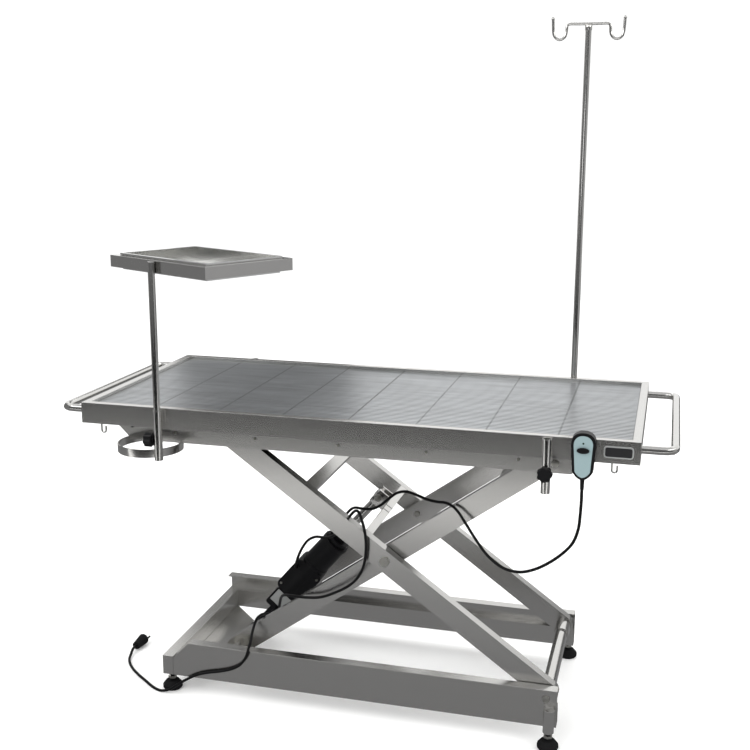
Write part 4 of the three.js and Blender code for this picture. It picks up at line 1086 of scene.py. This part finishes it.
@dataclass
class ActuatorFittings:
    """Cover screws, bare label, bands and pin ends of the actuator, in millimetres and degrees."""

    layout: Layout
    foot: tuple[float, float] = (-345.0, 85.0)
    angle: float = 49.121462
    length: float = 539.874
    block_end: float = 271.3
    barrel_end: float = 364.3
    barrel_radius: float = 35.0
    tube_radius: float = 18.0
    tube_end: float = 411.3
    gearbox_half: float = 32.0
    block_half: float = 31.0
    screws: tuple[tuple[float, float], ...] = ((180.0, -31.0), (180.0, 31.0), (257.0, -31.0))
    screw_radius: float = 3.6
    screw_tip: float = 2.8
    screw_height: float = 2.0
    label_along: tuple[float, float] = (124.0, 162.0)
    label_up: tuple[float, float] = (-25.0, 24.0)
    label_thickness: float = 0.5
    clip: tuple[float, float] = (17.6, 20.5)
    clip_radius: float = 8.0
    pin_head: tuple[float, float] = (17.5, 22.0)
    pin_head_radius: float = 9.0
    edge: float = 0.8

    def at(self, along: float, across: float, up: float) -> Vector:
        """Finds a place on the leaning actuator.

        Args:
            along: How far up its axis from the foot pin, in millimetres.
            across: How far across the table.
            up: How far above the axis.

        Returns:
            The place in the frame, in metres.
        """
        turn = math.radians(self.angle)
        x = self.foot[0] + along * math.cos(turn) - up * math.sin(turn)
        z = self.foot[1] + along * math.sin(turn) + up * math.cos(turn)
        return self.layout.at(x, across, z)

    def build(self) -> None:
        """Builds the actuator's small pieces."""
        self._bands()
        self._screws()
        self._label()
        self._pins()

    def _bands(self) -> None:
        """Builds the collar on the outer tube and the bands on the motor's barrel."""
        bands = [
            ("tube_collar", self.tube_end - 13, self.tube_end - 0.5, self.tube_radius + 3),
            ("motor_band", self.block_end + 0.4, self.block_end + 10, self.barrel_radius + 1.5),
            ("motor_cap_band", self.barrel_end - 12, self.barrel_end - 1, self.barrel_radius + 1.0),
        ]
        for name, start, end, radius in bands:
            mesh = bmesh.new()
            bar(mesh, self.at(start, 0, 0), self.at(end, 0, 0), radius, 40)
            soften(mesh, self.edge)
            finish_piece(name, mesh, ABS_BLACK, "actuator")

    def _screws(self) -> None:
        """Builds the cover screws of the motor block on both faces."""
        for side in Side:
            face = side.value * (self.block_half + SEAT_GAP)
            out = side.value * (self.block_half + self.screw_height)
            for number, (along, up) in enumerate(self.screws):
                mesh = bmesh.new()
                start, end = self.at(along, face, up), self.at(along, out, up)
                bar(mesh, start, end, self.screw_radius, 16, self.screw_tip)
                finish_piece(f"cover_screw_{side.name.lower()}_{number}", mesh, ZINC, "actuator")

    def _label(self) -> None:
        """Builds the bare label on the gearbox's front face."""
        mesh = bmesh.new()
        (start, end), (low, high) = self.label_along, self.label_up
        corners = [(start, low), (end, low), (end, high), (start, high)]
        face = -self.gearbox_half - SEAT_GAP
        verts = [mesh.verts.new(self.at(along, face, up)) for along, up in corners]
        made = bmesh.ops.contextual_create(mesh, geom=verts)["faces"]
        bmesh.ops.solidify(mesh, geom=made, thickness=self.label_thickness * MM)
        finish_piece("gearbox_label", mesh, BLANK_LABEL, "actuator")

    def _pins(self) -> None:
        """Builds the clip rings on the foot pin and the pin heads on the push tube's lugs."""
        for side in Side:
            mesh = bmesh.new()
            start, end = (self.at(0, side.value * y, 0) for y in self.clip)
            bar(mesh, start, end, self.clip_radius, 20)
            finish_piece(f"foot_pin_clip_{side.name.lower()}", mesh, ZINC, "base")
            mesh = bmesh.new()
            start, end = (self.at(self.length, side.value * y, 0) for y in self.pin_head)
            bar(mesh, start, end, self.pin_head_radius, 20)
            soften(mesh, self.edge)
            finish_piece(f"push_pin_head_{side.name.lower()}", mesh, ZINC, "outer_arms")


@dataclass
class Stretch:
    """A stretch of cord between two points of its route, by number, and the bodies it joins."""

    first: int
    last: int
    start_body: str
    end_body: str


@dataclass
class Cord:
    """A free cord along given points."""

    layout: Layout
    name: str
    route: Route
    stretches: list[Stretch]
    far_end: str = "object"
    diameter: float = 7.0
    samples: int = 6
    plug: list[bpy.types.Object] = field(default_factory=list)

    def build(self) -> list[bpy.types.Object]:
        """Builds the cord's stretches.

        Returns:
            The new objects, from the exit to the far end.
        """
        points = [self.layout.at(*p) for p in self.route]
        line = self._smooth(points)
        pieces = []
        for number, stretch in enumerate(self.stretches):
            path = line[stretch.first * self.samples : stretch.last * self.samples + 1]
            pieces.append(self._tube(f"{self.name}_{number}", path, stretch, points))
        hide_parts(self.name)
        return pieces

    def _smooth(self, points: list[Vector]) -> list[Vector]:
        """Returns a smooth line through the points.

        Args:
            points: The route, in metres.

        Returns:
            The line's points, a fixed number to each stretch between route points.
        """
        line = []
        for i in range(len(points) - 1):
            before = points[max(i - 1, 0)]
            after = points[min(i + 2, len(points) - 1)]
            a, b = points[i], points[i + 1]
            reach = (b - a).length / 3
            lead = a + (b - before).normalized() * reach
            trail = b - (after - a).normalized() * reach
            line.extend(geometry.interpolate_bezier(a, lead, trail, b, self.samples + 1)[:-1])
        line.append(points[-1])
        return line

    def _tube(
        self, name: str, path: list[Vector], stretch: Stretch, points: list[Vector]
    ) -> bpy.types.Object:
        """Args:
            name: The stretch's name.
            path: The points that it follows.
            stretch: Where it lies and what it rides on.
            points: The whole route, in metres.

        Returns:
            The new object.
        """
        data = bpy.data.curves.new(name, "CURVE")
        data.dimensions = "3D"
        data.bevel_depth = self.diameter * MM / 2
        data.bevel_resolution = 3
        data.use_fill_caps = True
        spline = data.splines.new("POLY")
        spline.points.add(len(path) - 1)
        for knot, place in zip(spline.points, path):
            knot.co = (*place, 1.0)
        curve = bpy.data.objects.new(name + "_line", data)
        bpy.context.scene.collection.objects.link(curve)
        solved = curve.evaluated_get(bpy.context.evaluated_depsgraph_get())
        made = bpy.data.meshes.new_from_object(solved)
        bpy.data.objects.remove(curve)
        piece = bpy.data.objects.new(name, made)
        bpy.context.scene.collection.objects.link(piece)
        made.materials.clear()
        made.materials.append(PVC.material())
        made.polygons.foreach_set("use_smooth", [True] * len(made.polygons))
        if stretch.start_body == stretch.end_body:
            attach(piece, stretch.start_body)
        else:
            start, end = points[stretch.first], points[stretch.last]
            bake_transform(piece)
            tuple(start)
            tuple(end)
        last = stretch is self.stretches[-1]
        self.far_end if last else "object"
        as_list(self.plug if last else [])
        LOG.info("cord %s", name)
        return piece


# Where the free cords run, in table millimetres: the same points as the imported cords', from the
# exit to the far end. The handset's cord hangs in one bow to the arms and goes on to the actuator.
HANDSET_CORD_ROUTE: Route = (
    (533, -312.3, 655.7),
    (533, -312.3, 630),
    (532, -312, 600),
    (529, -310, 566),
    (518, -305, 532),
    (497, -296, 503),
    (468, -284, 474),
    (435, -270, 449),
    (399, -256, 433),
    (360, -241, 433),
    (323, -226, 452),
    (291, -213, 485),
    (263, -200, 519),
    (239, -186, 543),
    (214, -168, 549),
    (187, -148, 543),
    (158, -128, 540),
    (129, -112, 543),
    (101, -100, 545),
    (76, -92, 537),
    (54, -86, 519),
    (32, -80, 498),
    (8, -72, 483),
    (-20, -58, 476),
    (-47, -40, 470),
    (-70, -14, 450),
    (-88, -2, 424),
    (-101.5, 0, 403.2),
    (-116.8, 0, 385.5),
)
# The motor's lead rises behind the front outer arm, loops over it and comes back to the gearbox.
MOTOR_LEAD_ROUTE: Route = (
    (-204, -31.3, 294),
    (-204, -45, 294),
    (-202, -53, 304),
    (-196, -58, 322),
    (-188, -61, 342),
    (-176, -65, 364),
    (-160, -70, 384),
    (-138, -78, 397),
    (-110, -94, 404),
    (-80, -118, 420),
    (-50, -141, 452),
    (-28, -157, 486),
    (-10, -171, 508),
    (3, -188, 516),
    (13, -203, 514),
    (20, -210, 502),
    (26, -211, 482),
    (30, -211, 454),
    (30, -211, 424),
    (26, -211, 394),
    (16, -210, 368),
    (0, -207, 345),
    (-24, -203, 324),
    (-54, -197, 305),
    (-90, -190, 287),
    (-128, -186, 280),
    (-160, -178, 276),
    (-186, -160, 268),
    (-206, -138, 256),
    (-222, -112, 236),
    (-236, -84, 206),
    (-245, -64, 182),
    (-249, -54, 167),
    (-250, -46, 161),
    (-250, -32.3, 161),
)
# The mains cord runs over the front rail and along the floor to its plug.
POWER_CORD_ROUTE: Route = (
    (-267, -32.3, 168.5),
    (-267, -48, 168.5),
    (-266, -78, 174),
    (-265, -112, 187),
    (-265, -146, 199),
    (-266, -174, 198),
    (-267, -200, 176),
    (-266, -216, 157),
    (-266, -226, 149),
    (-266, -234, 143),
    (-269, -237, 130),
    (-277, -237, 116),
    (-290, -236, 101),
    (-312, -236, 88),
    (-342, -236, 78),
    (-375, -236, 70),
    (-406, -236, 59),
    (-434, -237, 43),
    (-460, -238, 25),
    (-482, -239, 10),
    (-506, -238, 3.8),
    (-532, -227, 3.8),
    (-563, -204, 3.8),
    (-600, -176, 3.8),
    (-634, -145, 3.8),
    (-660, -110, 4.5),
    (-669, -82, 8),
    (-671, -66, 15),
    (-671, -48.3, 15),
)


@dataclass
class Cords:
    """The handset cord, the motor lead and the mains cord with its plug."""

    layout: Layout
    plug_edge: float = 1.2

    def build(self) -> None:
        """Builds the three cords and dresses the plug."""
        dress_node("power_plug", RUBBER, self.plug_edge)
        Cord(
            self.layout,
            "handset_cord",
            HANDSET_CORD_ROUTE,
            [
                Stretch(0, 7, "handset", "platform"),
                Stretch(7, 14, "platform", "inner_arms"),
                Stretch(14, 21, "inner_arms", "outer_arms"),
                Stretch(21, 28, "outer_arms", "base"),
            ],
        ).build()
        Cord(
            self.layout,
            "motor_lead",
            MOTOR_LEAD_ROUTE,
            [Stretch(0, 16, "base", "outer_arms"), Stretch(16, 34, "outer_arms", "base")],
        ).build()
        Cord(
            self.layout,
            "power_cord",
            POWER_CORD_ROUTE,
            [Stretch(0, 28, "base", "base")],
            far_end="plug",
            plug=[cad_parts["power_plug"]],
        ).build()


def main() -> None:
    """Builds the scene."""
    logging.basicConfig(level=logging.INFO, format="%(message)s")
    low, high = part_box("table_frame")
    layout = Layout(shift_y=(low[1] + high[1]) / 2)
    Studio(layout).build()
    Steelwork().dress()
    Cords(layout).build()
    LiftFittings(layout).build()
    TopFittings(layout).build()
    HandsetFittings().build()
    ActuatorFittings(layout).build()


if __name__ == "__main__":
    main()
